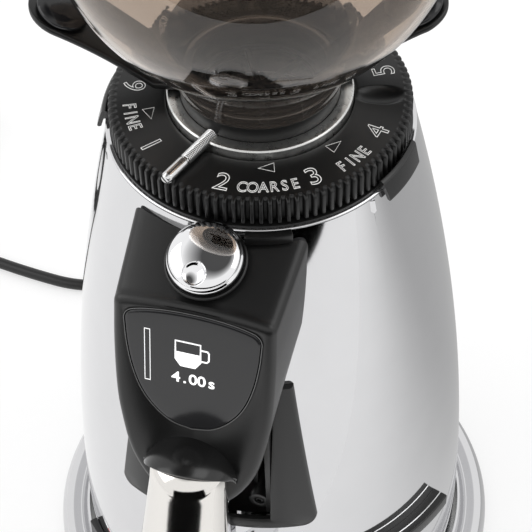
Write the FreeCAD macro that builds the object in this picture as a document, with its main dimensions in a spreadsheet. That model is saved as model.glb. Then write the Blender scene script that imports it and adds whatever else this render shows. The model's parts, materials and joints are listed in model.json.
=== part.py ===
"""Burr coffee grinder: a bell-shaped steel housing on a dished base, a toothed grind dial with a two-armed
lever, a round hopper, a black control head with a funnel spout, and the motor and flat burrs inside.

Frame: +Z up, the origin on the housing's axis at the surface that the grinder stands on. The front,
where the control head and the portafilter fork are, faces -Y. An azimuth is an angle about Z, counted from
the front towards +X. All sizes are in millimetres and degrees.
"""
import FreeCAD, Part
import math
import os

import Sketcher

V = FreeCAD.Vector
X_AXIS, Y_AXIS, Z_AXIS = V(1, 0, 0), V(0, 1, 0), V(0, 0, 1)
FULL_TURN = 360

doc = FreeCAD.newDocument("burr_grinder")
sheet = doc.addObject("Spreadsheet::Sheet", "Dims")

DRIVING = {
    # base and housing
    "foot_height": 4, "foot_inner": 88, "foot_outer": 102, "base_radius": 108, "base_rim": 17.5,
    "base_lip_radius": 94.6, "base_sheet": 2, "floor_top": 9,
    "body_foot_radius": 91.6, "body_shoulder": 40, "body_waist_radius": 84.4, "body_waist": 160,
    "body_top_radius": 62.5, "body_top": 278, "body_sheet": 1.5, "trim_radius": 63.2, "trim_height": 1.2,
    # dial, neck and lever
    "dial_radius": 61, "dial_bottom": 280.5, "dial_height": 11.5, "tooth_count": 108, "tooth_depth": 2.3,
    "tooth_gap": 1.9, "neck_outer": 37.4, "neck_inner": 32.3, "neck_top": 296, "pin_radius": 2.5,
    "pin_azimuth": -19.2, "lever_thickness": 3.4, "left_arm_azimuth": -84, "left_arm_reach": 91,
    "right_arm_azimuth": 124, "right_arm_reach": 78, "arm_half": 12,
    # hopper
    "hopper_radius": 77, "hopper_centre": 392, "hopper_wall": 2.2, "spigot_radius": 28, "hopper_flange": 33.2,
    "flange_height": 303.8, "neck_join_radius": 37.5, "neck_join": 325, "mouth_radius": 59.6, "mouth": 440.8,
    # burrs, chamber and motor
    "burr_outer": 32, "burr_inner": 18, "burr_height": 9, "burr_gap": 1, "lower_burr_top": 245,
    "carrier_radius": 54.7, "chamber_radius": 58, "chamber_floor": 214, "shaft_radius": 6,
    "bearing_radius": 16,
    "motor_radius": 64, "motor_bottom": 68, "motor_top": 138, "rotor_radius": 37.5, "running_gap": 0.05,
    # control head
    "head_half": 33.2, "head_back_y": -53, "head_back_z": 277, "head_tilt": 20, "face_y": -93, "face_z": 262,
    "face_tilt": 10.5, "head_wall": 2.6, "crown_rise": 3, "knob_radius": 15, "knob_down_slope": 22,
    "spout_radius": 16, "spout_tilt": 20, "spout_y": -111.5, "spout_z": 180, "spout_wall": 1.2,
    # front fittings and cord
    "panel_thickness": 2.4, "panel_bottom": 118, "rail_half": 25.6, "fork_height": 88, "cord_thickness": 6.4,
    "gland_azimuth": 210, "gland_height": 30,
}


class Size:
    """A number together with the sheet formula that it comes from."""

    def __init__(self, value, text=None):
        self.value = float(value)
        self.text = text or repr(float(value))

    @staticmethod
    def of(other):
        return other if isinstance(other, Size) else Size(other)

    def __add__(self, other):
        other = Size.of(other)
        return Size(self.value + other.value, f"({self.text} + {other.text})")

    def __sub__(self, other):
        other = Size.of(other)
        return Size(self.value - other.value, f"({self.text} - {other.text})")

    def __mul__(self, other):
        other = Size.of(other)
        return Size(self.value * other.value, f"({self.text} * {other.text})")

    def __truediv__(self, other):
        other = Size.of(other)
        return Size(self.value / other.value, f"({self.text} / {other.text})")

    def __neg__(self):
        return Size(-self.value, f"(-1 * {self.text})")

    __radd__ = __add__
    __rmul__ = __mul__

    def __rsub__(self, other):
        return Size.of(other) - self


class Driving:
    """The sheet's words as attributes, each one a Size."""


dims = Driving()
for row, (word, number) in enumerate(DRIVING.items(), start=1):
    sheet.set(f"A{row}", word)
    sheet.set(f"B{row}", str(number))
    sheet.setAlias(f"B{row}", word)
    setattr(dims, word, Size(number, f"Dims.{word}"))
doc.recompute()

SUBPARTS = []


def number(size):
    return Size.of(size).value


def bind(thing, prop, size):
    """Binds a property to its formula, or sets a plain number."""
    if isinstance(size, Size):
        thing.setExpression(prop, size.text)
    elif prop.isalnum():
        setattr(thing, prop, size)


def place(thing, x=0, y=0, z=0, axis=None, angle=0):
    """Puts a thing at a point, turned about an axis, with the point's formulas bound."""
    spin = FreeCAD.Rotation(axis or Z_AXIS, angle)
    thing.Placement = FreeCAD.Placement(V(number(x), number(y), number(z)), spin)
    for prop, size in (("x", x), ("y", y), ("z", z)):
        if isinstance(size, Size):
            thing.setExpression(f"Placement.Base.{prop}", size.text)
    return thing


def spun(thing, angle, x=0, y=0, z=0):
    """Turns a finished thing about its own upright axis, then moves it, by way of a compound round it."""
    holder = doc.addObject("Part::Compound", thing.Name + "_turned")
    holder.Links = [thing]
    return place(holder, x, y, z, axis=Z_AXIS, angle=angle)


def keep(thing, label):
    """Names a finished sub-part and puts it on the list to write."""
    thing.Label = label
    SUBPARTS.append(thing)
    return thing


def polar(radius, azimuth):
    """X and Y of a point at a radius and an azimuth."""
    return radius * math.sin(math.radians(azimuth)), -radius * math.cos(math.radians(azimuth))


# ---- sketches and features ----------------------------------------------------------------------------


def origin_plane(body, role):
    return next(item for item in body.Origin.OriginFeatures if item.Role == role)


def pin_point(sketch, geometry, end, u, v):
    """Holds one point of a sketch at (u, v) from the sketch's origin."""
    for kind, size in (("DistanceX", u), ("DistanceY", v)):
        index = sketch.addConstraint(Sketcher.Constraint(kind, -1, 1, geometry, end, number(size)))
        if isinstance(size, Size):
            sketch.setExpression(f"Constraints[{index}]", size.text)


def outline(body, name, role, corners, offset=0):
    """A closed outline on one of the body's own planes. A corner is (u, v), and (u, v, "via") makes the
    edge between the corners beside it an arc through that point."""
    sketch = body.newObject("Sketcher::SketchObject", name)
    sketch.AttachmentSupport = [(origin_plane(body, role), "")]
    sketch.MapMode = "FlatFace"
    sketch.AttachmentOffset = FreeCAD.Placement(V(0, 0, number(offset)), FreeCAD.Rotation())
    bind(sketch, "AttachmentOffset.Base.z", offset)
    points = [V(number(c[0]), number(c[1]), 0) for c in corners]
    solid = [i for i, c in enumerate(corners) if len(c) == 2]
    ends = []
    for k, i in enumerate(solid):
        j = solid[(k + 1) % len(solid)]
        via = (i + 1) % len(corners)
        if via == j:
            edge = sketch.addGeometry(Part.LineSegment(points[i], points[j]), False)
            start, stop = 1, 2
        else:
            edge = sketch.addGeometry(Part.Arc(points[i], points[via], points[j]), False)
            start = 1 if sketch.getPoint(edge, 1).distanceToPoint(points[i]) < 1e-6 else 2
            stop = 3 - start
            mark = sketch.addGeometry(Part.Point(points[via]), True)
            pin_point(sketch, mark, 1, corners[via][0], corners[via][1])
            sketch.addConstraint(Sketcher.Constraint("PointOnObject", mark, 1, edge))
        pin_point(sketch, edge, start, corners[i][0], corners[i][1])
        ends.append((edge, start, stop))
    for k, (edge, _, stop) in enumerate(ends):
        following, start, _ = ends[(k + 1) % len(ends)]
        sketch.addConstraint(Sketcher.Constraint("Coincident", edge, stop, following, start))
    return sketch


def circle(body, name, role, u, v, radius, offset=0):
    """A circle on one of the body's own planes."""
    sketch = body.newObject("Sketcher::SketchObject", name)
    sketch.AttachmentSupport = [(origin_plane(body, role), "")]
    sketch.MapMode = "FlatFace"
    sketch.AttachmentOffset = FreeCAD.Placement(V(0, 0, number(offset)), FreeCAD.Rotation())
    bind(sketch, "AttachmentOffset.Base.z", offset)
    ring = sketch.addGeometry(Part.Circle(V(number(u), number(v), 0), Z_AXIS, number(radius)), False)
    pin_point(sketch, ring, 3, u, v)
    index = sketch.addConstraint(Sketcher.Constraint("Radius", ring, number(radius)))
    bind(sketch, f"Constraints[{index}]", radius)
    return sketch


def new_body(name):
    return doc.addObject("PartDesign::Body", name)


def turned(name, corners, sweep=FULL_TURN):
    """A body made by turning an outline, given as (radius, height), about the upright axis."""
    body = new_body(name)
    sketch = outline(body, name + "_profile", "XZ_Plane", corners)
    turn = body.newObject("PartDesign::Revolution", name + "_turn")
    turn.Profile = sketch
    turn.ReferenceAxis = (sketch, ["V_Axis"])
    turn.Angle = sweep
    return body


def padded(name, role, corners, length, offset=0, midplane=False, reverse=False):
    """A body made by padding an outline from one of its own planes."""
    body = new_body(name)
    sketch = outline(body, name + "_outline", role, corners, offset)
    pad = body.newObject("PartDesign::Pad", name + "_pad")
    pad.Profile = sketch
    bind(pad, "Length", length)
    pad.Midplane = midplane
    pad.Reversed = reverse
    return body


def pocketed(body, sketch, length, count=1, reverse=True):
    """Cuts a sketch out of a body, repeated about the upright axis, and makes sure that metal went."""
    doc.recompute()
    before = body.Shape.Volume
    cut = body.newObject("PartDesign::Pocket", sketch.Name + "_cut")
    cut.Profile = sketch
    bind(cut, "Length", length)
    cut.Reversed = reverse
    doc.recompute()
    if count != 1:
        ring = body.newObject("PartDesign::PolarPattern", sketch.Name + "_ring")
        ring.Originals = [cut]
        ring.Axis = (origin_plane(body, "Z_Axis"), [""])
        ring.Angle = FULL_TURN
        bind(ring, "Occurrences", count)
        body.Tip = ring
        doc.recompute()
    if body.Shape.Volume >= before - 1e-6:
        raise RuntimeError(f"{sketch.Name} cut nothing")
    return body


def sector(name, inner, outer, low, high, first, last):
    """A piece of a ring between two azimuths."""
    body = turned(name, [(inner, low), (outer, low), (outer, high), (inner, high)], sweep=last - first)
    return place(body, axis=Z_AXIS, angle=first - 90)


def box(name, xs, ys, zs):
    thing = doc.addObject("Part::Box", name)
    for prop, (low, high) in (("Length", xs), ("Width", ys), ("Height", zs)):
        bind(thing, prop, high - low)
    return place(thing, xs[0], ys[0], zs[0])


def rod(name, radius, low, high, x=0, y=0):
    """An upright cylinder between two heights."""
    thing = doc.addObject("Part::Cylinder", name)
    bind(thing, "Radius", radius)
    bind(thing, "Height", high - low)
    return place(thing, x, y, low)


def radial_rod(name, radius, start, stop, height, azimuth):
    """A cylinder that lies along a radius, between two distances from the axis."""
    thing = doc.addObject("Part::Cylinder", name)
    bind(thing, "Radius", radius)
    bind(thing, "Height", stop - start)
    x, y = polar(number(start), azimuth)
    across = V(math.cos(math.radians(azimuth)), math.sin(math.radians(azimuth)), 0)
    return place(thing, x, y, height, axis=across, angle=90)


def ball(name, radius, x, y, z):
    thing = doc.addObject("Part::Sphere", name)
    bind(thing, "Radius", radius)
    return place(thing, x, y, z)


def fused(name, things):
    thing = doc.addObject("Part::MultiFuse", name)
    thing.Shapes = things
    return thing


def cut(name, base, tools):
    thing = doc.addObject("Part::Cut", name)
    thing.Base = base
    thing.Tool = tools[0] if len(tools) == 1 else fused(name + "_tools", tools)
    return thing


def common(name, things):
    thing = doc.addObject("Part::MultiCommon", name)
    thing.Shapes = things
    return thing


def group(name, things):
    thing = doc.addObject("Part::Compound", name)
    thing.Links = things
    return thing


# ---- base ---------------------------------------------------------------------------------------------


def foot_ring():
    keep(turned("foot_ring", [(dims.foot_inner, 0), (dims.foot_outer, 0),
                              (dims.foot_outer, dims.foot_height), (dims.foot_inner, dims.foot_height)]),
         "rubber_foot_ring")


def base_dish():
    """Spun steel dish: flat flange below, a rounded outer rim, a valley and a lip beside the housing."""
    t, low, rim, lip = dims.base_sheet, dims.foot_height, dims.base_rim, dims.base_lip_radius
    edge = dims.base_radius
    keep(turned("dish", [
        (dims.foot_inner, low), (edge - 3, low), (edge - 0.9, low + 0.9, "via"), (edge, low + 3),
        (edge, rim - 6), (edge - 1.76, rim - 1.76, "via"), (edge - 6, rim), (edge - 8, rim - 0.8),
        (edge - 10.6, rim - 3.4, "via"), (lip + 0.6, rim - 0.6), (lip, rim + 1.6), (lip - 1.4, rim + 1.6),
        (lip - 0.9, rim - 2), (edge - 10.8, rim - 5.6, "via"), (edge - 7, rim - 2.6), (edge - 6, rim - t),
        (edge - 3.2, rim - 3.2, "via"), (edge - t, rim - 6), (edge - t, low + 3), (edge - 3, low + t),
        (dims.foot_inner, low + t)]), "base_dish")


def bottom_plate():
    flange_top = dims.foot_height + dims.base_sheet
    plate = turned("plate", [(0, flange_top), (97, flange_top), (97, dims.floor_top), (0, dims.floor_top)])
    vent = circle(plate, "floor_vent", "XY_Plane", 0, 46, 7, flange_top - 1)
    keep(pocketed(plate, vent, 5, count=8), "bottom_plate")


# ---- housing ------------------------------------------------------------------------------------------


def body_outline(grow, low, top_extra=0):
    """Right-hand side of the housing's bell from its foot to its top, moved outwards by grow."""
    return [(dims.body_foot_radius + grow, low), (dims.body_foot_radius + grow, dims.body_shoulder),
            (dims.body_waist_radius + grow, dims.body_waist, "via"),
            (dims.body_top_radius + grow, dims.body_top + top_extra)]


def bell_shell(name, inner_grow, outer_grow, low):
    inner = body_outline(inner_grow, low)[::-1]
    return turned(name, body_outline(outer_grow, low) + inner)


def bell_solid(name, grow, low):
    """The housing's whole inside, with the trim at its top, as a tool for cutting what fits against it."""
    rim, top = dims.trim_radius + 0.3, dims.dial_bottom + 12
    return turned(name, [(0, low)] + body_outline(grow, low) + [(rim, dims.body_top), (rim, top), (0, top)])


def body_shell():
    """Polished bell with the openings for the head, the fork rail, two cooling slots, switch and cord."""
    sheet_metal = bell_shell("bell", -dims.body_sheet, 0, dims.floor_top)
    heights = (SWITCH_HEIGHT - 9, SWITCH_HEIGHT + 9)
    switch = spun(box("switch_opening", (-12.4, 12.4), (-99, -80), heights), SWITCH_AZIMUTH)
    tools = [
        box("head_opening", (-19, 19), (-92, -52), (197, 266)),
        box("rail_opening", (-dims.rail_half - 0.3, dims.rail_half + 0.3), (-99, -60), (124, 198)),
        sector("vent_opening", 84, 96, VENT_LOW + 1, VENT_TOP - 1, VENT_FIRST + 2, VENT_LAST - 2),
        switch,
        knob_way("body_knob_way"),
        radial_rod("cord_opening", 8.2, 80, 96, dims.gland_height, number(dims.gland_azimuth)),
    ]
    keep(cut("body", sheet_metal, tools), "body_shell")


SWITCH_AZIMUTH = -44
SWITCH_HEIGHT = 30.5
ROCKER_AXIS_Y = -92
VENT_LOW, VENT_TOP = 80, 87.6
VENT_FIRST, VENT_LAST = 30, 73
VENT_REACH = 97.5


def side_louvre():
    """Black moulded hood over the cooling opening, with a root in the opening and a groove along its top."""
    first, last = VENT_FIRST, VENT_LAST
    hood = sector("vent_hood", 88, VENT_REACH, VENT_LOW, VENT_TOP, first, last)
    outside = cut("vent_outside", hood, [bell_solid("vent_seat", 0.1, 60)])
    root = sector("vent_root", 87, 92, VENT_LOW + 1.2, VENT_TOP - 1.2, first + 2.2, last - 2.2)
    groove = sector("vent_groove", 93.7, 94.3, VENT_TOP - 0.5, VENT_TOP + 1, first - 1, last + 1)
    keep(cut("louvre", fused("louvre_whole", [outside, root]), [groove]), "side_louvre")


def top_trim():
    top, rim = dims.body_top, dims.trim_radius
    ring = turned("trim", [(58.5, top), (rim - 0.4, top), (rim, top + 0.6, "via"),
                           (rim - 0.4, top + dims.trim_height), (58.5, top + dims.trim_height)])
    keep(cut("trim_cut", ring, [knob_way("trim_knob_way")]), "top_trim_ring")


def knob_way(name):
    """Room for the jog knob to turn in, for cutting the rings that it comes close to."""
    return on_top(rod(name, dims.knob_radius + 0.6, 0, 20), 0, -number(dims.knob_down_slope), dims.crown_rise)


def cap_ring():
    """Black ring on the trim, under the dial, with an ear on each side that hangs over the housing's edge."""
    low = dims.body_top + dims.trim_height
    pieces = [turned("cap_flat", [(56, low), (62.4, low), (62.4, low + 0.6), (56, low + 0.6)])]
    for side, (first, last) in (("right", (62, 86)), ("left", (-100, -73))):
        pieces.append(sector(f"ear_web_{side}", 61.6, 66.8, low, low + 4.6, first, last))
        pieces.append(sector(f"ear_skirt_{side}", 65, 66.8, low - 5.2, low + 4.6, first, last))
    keep(cut("cap", fused("cap_whole", pieces), [knob_way("cap_knob_way")]), "cap_ring")


# ---- motor --------------------------------------------------------------------------------------------


def lower_motor_bell():
    """Cast cup on four legs that holds the motor's lower bearing and its stator."""
    r, low = dims.motor_radius, dims.motor_bottom
    cup = turned("lower_cup", [(dims.bearing_radius, 34), (r + 3, 34), (r + 3, low + 6), (r, low + 6),
                               (r, 40), (21, 40), (21, 44), (dims.bearing_radius, 44)])
    legs = [rod(f"motor_leg_{k}", 5, dims.floor_top, 34.5, *polar(60, 45 + 90 * k)) for k in range(4)]
    keep(fused("lower_bell", [cup] + legs), "lower_motor_bell")


def upper_motor_bell():
    r, top = dims.motor_radius, dims.motor_top
    keep(turned("upper_cup", [
        (dims.bearing_radius, 156), (21, 156), (21, 160), (r, 160), (r, top - 6), (r + 3, top - 6),
        (r + 3, 166), (dims.bearing_radius, 166)]), "upper_motor_bell")


def bearing(name, low):
    """Deep-groove ball bearing, drawn as one ring with its two seal recesses."""
    bore, rim = dims.shaft_radius + dims.running_gap, dims.bearing_radius
    keep(turned(name + "_ring", [
        (bore, low), (9, low), (9, low + 0.6), (13.4, low + 0.6), (13.4, low), (rim, low), (rim, low + 10),
        (13.4, low + 10), (13.4, low + 9.4), (9, low + 9.4), (9, low + 10), (bore, low + 10)]), name)


def stator():
    """Laminated stack with the two bundles of windings that stand out of it."""
    r, low, top = dims.motor_radius, dims.motor_bottom, dims.motor_top
    bore = dims.rotor_radius + 0.5
    keep(turned("stack", [(bore, low + 8), (42, low + 8), (42, low), (56, low), (56, low + 8), (r, low + 8),
                          (r, top - 8), (56, top - 8), (56, top), (42, top), (42, top - 8), (bore, top - 8)]),
         "motor_stator")


def rotor():
    core = turned("core", [(dims.shaft_radius, 76), (dims.rotor_radius, 76), (dims.rotor_radius, 130),
                           (dims.shaft_radius, 130)])
    keep(core, "rotor_core")
    hub = turned("fan_hub", [(dims.shaft_radius, 18), (44, 18), (44, 19.5), (11, 19.5), (11, 30),
                             (dims.shaft_radius, 30)])
    blades = [spun(box(f"fan_blade_{k}", (10, 43.5), (-0.8, 0.8), (19, 29)), FULL_TURN * k / 9)
              for k in range(9)]
    keep(fused("fan", [hub] + blades), "cooling_fan")


def drive_shaft():
    """Motor shaft from the fan to the burrs, with the nut that clamps the lower burr carrier."""
    r, seat = dims.shaft_radius, dims.lower_burr_top - dims.burr_height
    keep(turned("shaft", [(0, 13), (r - 1, 13), (r, 14), (r, seat), (11, seat), (11, seat + 4),
                          (7, seat + 7), (0, seat + 7)]), "drive_shaft")


def electrics():
    """Run capacitor and control board, on the floor beside the motor."""
    can = doc.addObject("Part::Cylinder", "capacitor_can")
    can.Radius, can.Height = 11, 52
    place(can, -70, 26, 22, axis=X_AXIS, angle=90)
    saddle = box("capacitor_saddle", (-76, -64), (-20, 20), (dims.floor_top, 16))
    keep(fused("capacitor", [can, saddle]), "run_capacitor")
    board = box("board_sheet", (54, 78), (-30, 30), (15, 16.6))
    posts = [box(f"board_post_{k}", (62, 66), (y, y + 4), (dims.floor_top, 15.5))
             for k, y in enumerate((-28, 24))]
    chips = [box("board_relay", (57, 72), (-24, -8), (16, 30)),
             box("board_coil", (58, 74), (0, 14), (16, 27)),
             box("board_plug", (57, 66), (19, 28), (16, 24))]
    keep(fused("board", [board] + posts + chips), "control_board")


# ---- grinding chamber and burrs -----------------------------------------------------------------------


SPRING_AZIMUTHS = (60, 180, 300)
SPRING_CIRCLE = 52.6
SPRING_LOW = 236


def grinding_chamber():
    """Aluminium casting on the motor: a neck, the cup that the burrs run in, and the bore for the carrier."""
    r, floor, top = dims.chamber_radius, dims.chamber_floor, dims.body_top
    cup = turned("cup", [
        (7, 166), (44, 166), (44, 172), (26, 178), (26, floor - 8), (r, floor), (r, top - 4), (60.6, top - 4),
        (60.6, top), (dims.carrier_radius + 0.35, top), (dims.carrier_radius + 0.35, 257.6), (47, 257.6),
        (47, floor + 6), (7, floor + 6)])
    wells = [rod(f"spring_well_{k}", 3.1, SPRING_LOW, 262, *polar(SPRING_CIRCLE, azimuth))
             for k, azimuth in enumerate(SPRING_AZIMUTHS)]
    outlet = box("chamber_outlet", (-9, 9), (-62, -40), (220, 238))
    keep(cut("chamber", cup, wells + [outlet]), "grinding_chamber")


def springs():
    """Three springs that push the dial's carrier up, each a stack of rings at the coil's pitch."""
    coils = []
    wire = 0.55
    turns = 12
    for k, azimuth in enumerate(SPRING_AZIMUTHS):
        x, y = polar(SPRING_CIRCLE, azimuth)
        sleeve = rod(f"spring_sleeve_{k}", 2.7, SPRING_LOW, 258.5, x, y)
        bore = rod(f"spring_bore_{k}", 1.7, SPRING_LOW - 1, 259.5, x, y)
        grooves = []
        for turn in range(turns):
            ring = doc.addObject("Part::Torus", f"spring_groove_{k}_{turn}")
            ring.Radius1, ring.Radius2 = 2.9, wire
            grooves.append(place(ring, x, y, SPRING_LOW + 1.4 + turn * 1.8))
        coils.append(cut(f"spring_{k}", sleeve, [bore] + grooves))
    keep(group("springs", coils), "carrier_springs")
    keep(turned("seat", [(47.6, 258.6), (54.4, 258.6), (54.4, 261.6), (47.6, 261.6)]), "spring_seat_ring")


def burr(name, low, up):
    """Flat steel burr: a ring with radial furrows in its cutting face."""
    high = low + dims.burr_height
    face, bevel = (high, high - 2.6) if up else (low, low + 2.6)
    back = low if up else high
    body = turned(name + "_ring", [(dims.burr_inner, back), (dims.burr_outer, back), (dims.burr_outer, face),
                                   (26, face), (dims.burr_inner, bevel)])
    furrow = outline(body, name + "_furrow", "XY_Plane",
                     [(16, -3.2), (26, 0.6), (33.5, 2.2), (33.5, 3.2), (26, 2.6), (16, 0.6)],
                     face - 1.2 if up else face - 1)
    keep(pocketed(body, furrow, 3 if up else 2.2, count=12), name)


def upper_burr_group():
    """Upper burr, the threaded carrier that holds it and rises as the dial turns, and the burr's screws."""
    burr_low = dims.lower_burr_top + dims.burr_gap
    back = burr_low + dims.burr_height
    burr("upper_burr", burr_low, up=False)
    neck, top = dims.neck_outer, dims.neck_top
    carrier = turned("carrier", [
        (17, back), (46.5, back), (46.5, 262), (dims.carrier_radius, 262),
        (dims.carrier_radius, dims.dial_bottom),
        (neck, dims.dial_bottom), (neck, top - 0.6), (neck - 0.6, top), (dims.neck_inner, top),
        (dims.neck_inner, 276), (25.8, 276), (19, back + 6), (17, back + 3)])
    fit = dims.pin_radius + dims.running_gap
    pin_hole = radial_rod("pin_hole", fit, 25, 45, top - 1, number(dims.pin_azimuth))
    keep(cut("carrier_drilled", carrier, [pin_hole]), "burr_carrier")
    screws = []
    for k in range(3):
        x, y = polar(25, 30 + 120 * k)
        screws.append(rod(f"upper_screw_{k}", 1.9, back - 5, back + 5, x, y))
    keep(group("upper_screws", screws), "upper_burr_screws")


def lower_burr_group():
    top = dims.lower_burr_top
    seat = top - dims.burr_height
    burr("lower_burr", seat, up=True)
    disc = turned("lower_disc", [(dims.shaft_radius, 221), (13, 221), (13, 225), (45.4, 225), (45.4, 229),
                                 (36, seat), (dims.shaft_radius, seat)])
    vanes = [spun(box(f"sweeper_{k}", (34, 45), (-1.6, 1.6), (226, 239)), 15 + 120 * k) for k in range(3)]
    keep(fused("lower_carrier", [disc] + vanes), "lower_burr_carrier")
    screws = []
    for k in range(3):
        x, y = polar(25, 90 + 120 * k)
        screws.append(rod(f"lower_screw_{k}", 1.9, seat - 5, seat + 4, x, y))
    keep(group("lower_screws", screws), "lower_burr_screws")


# ---- dial, lever and hopper ---------------------------------------------------------------------------


def dial():
    """Toothed collar: a flat top with a bevelled edge, a finger scoop and upright slots round its rim."""
    r, low = dims.dial_radius, dims.dial_bottom
    top = low + dims.dial_height
    ring = turned("dial", [(neck_clear := dims.neck_outer + 0.3, low), (r - 0.5, low), (r, low + 0.8),
                           (r, top - 1.2), (r - 1.2, top), (neck_clear, top)])
    slot = outline(ring, "tooth_slot", "XY_Plane", [
        (r - dims.tooth_depth + 0.7, -dims.tooth_gap / 2), (r + 2, -dims.tooth_gap / 2),
        (r + 2, dims.tooth_gap / 2), (r - dims.tooth_depth + 0.7, dims.tooth_gap / 2),
        (r - dims.tooth_depth, 0, "via")], low - 1)
    pocketed(ring, slot, dims.dial_height + 3, count=dims.tooth_count)
    scoop_x, scoop_y = polar(48, 104)
    scoop = place(ball("scoop", 26, scoop_x, scoop_y, top + 23.4))
    heads = [rod(f"dial_screw_seat_{k}", 3.3, top - 1.6, top + 2, *polar(41, azimuth))
             for k, azimuth in enumerate(DIAL_SCREW_AZIMUTHS)]
    keep(cut("dial_cut", ring, [scoop] + heads), "dial_ring")


DIAL_SCREW_AZIMUTHS = (41.8, 161.8, -78.2)


def dial_screws():
    top = dims.dial_bottom + dims.dial_height
    screws = []
    for k, azimuth in enumerate(DIAL_SCREW_AZIMUTHS):
        x, y = polar(41, azimuth)
        head = rod(f"dial_screw_head_{k}", 3.1, top - 1.6, top - 0.2, x, y)
        arms = [spun(box(f"dial_screw_{way}_{k}", (-2, 2), (-0.35, 0.35), (0, 2)), turn, x, y, top - 0.9)
                for way, turn in (("slit", azimuth), ("cross", azimuth + 90))]
        screws.append(cut(f"dial_screw_{k}", head, arms))
    keep(group("dial_screw_set", screws), "dial_screws")


def lock_screw():
    """Radial screw through the neck, with a slotted and bevelled outer end."""
    height = dims.neck_top - 1
    azimuth = number(dims.pin_azimuth)
    stem = radial_rod("lock_stem", dims.pin_radius, 28.5, 61.4, height, azimuth)
    tip = doc.addObject("Part::Cone", "lock_tip")
    bind(tip, "Radius1", dims.pin_radius)
    bind(tip, "Radius2", dims.pin_radius - 0.8)
    tip.Height = 0.9
    x, y = polar(61.4, azimuth)
    across = V(math.cos(math.radians(azimuth)), math.sin(math.radians(azimuth)), 0)
    place(tip, x, y, height, axis=across, angle=90)
    slit = spun(box("lock_slit", (-0.45, 0.45), (-64, -60.6), (288, 302)), azimuth)
    keep(cut("lock", fused("lock_whole", [stem, tip]), [slit]), "hopper_lock_screw")


def lever():
    """Black collar in the neck with two arms that rise outwards to thumb pads."""
    inner, outer, top = dims.spigot_radius + 0.2, dims.neck_inner - 0.2, dims.flange_height - 0.3
    hub = turned("lever_hub", [(inner, 276), (outer, 276), (outer, top), (inner, top)])
    left = lever_arm("left", dims.left_arm_azimuth, dims.left_arm_reach,
                     root=(41, 297), middle=(78, 320.8), tip=(94, 327), waist=11)
    right = lever_arm("right", dims.right_arm_azimuth, dims.right_arm_reach,
                      root=(38, 296.8), middle=(66, 314.6), tip=(81, 319.4), waist=9)
    loose = dims.pin_radius + 0.6
    pin_way = radial_rod("pin_way", loose, 26, 36, dims.neck_top - 1, number(dims.pin_azimuth))
    keep(cut("lever", fused("lever_whole", [hub, left, right]), [pin_way]), "adjusting_lever")
    pads = [thumb_pad("left", dims.left_arm_azimuth, 78, 320.8, 24.3),
            thumb_pad("right", dims.right_arm_azimuth, 66, 314.6, 22.1)]
    keep(group("pads", pads), "lever_pads")


def lever_arm(side, azimuth, reach, root, middle, tip, waist):
    """One arm of even thickness along an arc through three (radius, height) points, with a round end."""
    thick, half = dims.lever_thickness, dims.arm_half
    lower = [(-30, root[1] - 0.4), (-root[0], root[1]), (-middle[0], middle[1], "via"), (-tip[0], tip[1])]
    upper = [(-tip[0], tip[1] + thick), (-middle[0], middle[1] + thick, "via"), (-root[0], root[1] + thick),
             (-30, root[1] - 0.4 + thick)]
    side_view = padded(f"lever_{side}_side", "YZ_Plane", lower + upper, 2 * dims.arm_half, midplane=True)
    plan = padded(f"lever_{side}_plan", "XY_Plane", [
        (-9, -29), (-waist, -50), (-half, half - reach), (0, -reach, "via"), (half, half - reach),
        (waist, -50), (9, -29)], 60, offset=285)
    bore = rod(f"lever_{side}_bore", dims.spigot_radius + 0.2, 290, 310)
    arm = cut(f"lever_{side}_arm", common(f"lever_{side}", [side_view, plan]), [bore])
    return place(arm, axis=Z_AXIS, angle=number(azimuth))


def thumb_pad(side, azimuth, radius, height, slope):
    """A low round pad that lies on an arm, at the middle point of its arc."""
    half = dims.arm_half
    pad = turned(f"pad_{side}", [(0, 0), (half - 1.2, 0), (half - 1, 1.6), (half * 0.62, 4.4, "via"),
                                 (2, 5.4), (0, 5.4)])
    x, y = polar(radius, number(azimuth))
    turn = math.radians(number(azimuth))
    lift = number(dims.lever_thickness) + 0.05
    return place(pad, x, y, height + lift, axis=V(math.cos(turn), math.sin(turn), 0), angle=-slope)


def hopper():
    """Round tinted bowl with a rim for the lid, and the tinted neck under it with its flange and spigot."""
    w, r, middle = dims.hopper_wall, dims.hopper_radius, dims.hopper_centre
    flange, neck, join = dims.flange_height, dims.spigot_radius, dims.neck_join_radius
    keep(turned("bowl", [
        (join, dims.neck_join), (r, middle, "via"), (dims.mouth_radius, dims.mouth),
        (dims.mouth_radius, dims.mouth + 6), (dims.mouth_radius - w, dims.mouth + 6),
        (dims.mouth_radius - w, dims.mouth - 0.6), (r - w, middle, "via"),
        (join - w, dims.neck_join)]), "hopper_bowl")
    keep(turned("hopper_spigot", [
        (neck - w, 276.4), (neck, 276.4), (neck, flange), (dims.hopper_flange, flange),
        (dims.hopper_flange, flange + 1.6), (join, dims.neck_join), (join - w, dims.neck_join),
        (dims.hopper_flange - w - 1, flange + 4), (neck - w, flange - 4)]), "hopper_neck")
    guard = turned("guard_ring", [(23.4, 290), (25.7, 290), (25.7, 294), (23.4, 294)])
    bars = [spun(box(f"guard_bar_{k}", (-24, 24), (-1, 1), (290.5, 293.5)), 60 * k) for k in range(3)]
    keep(fused("guard", [guard] + bars), "finger_guard")


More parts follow.
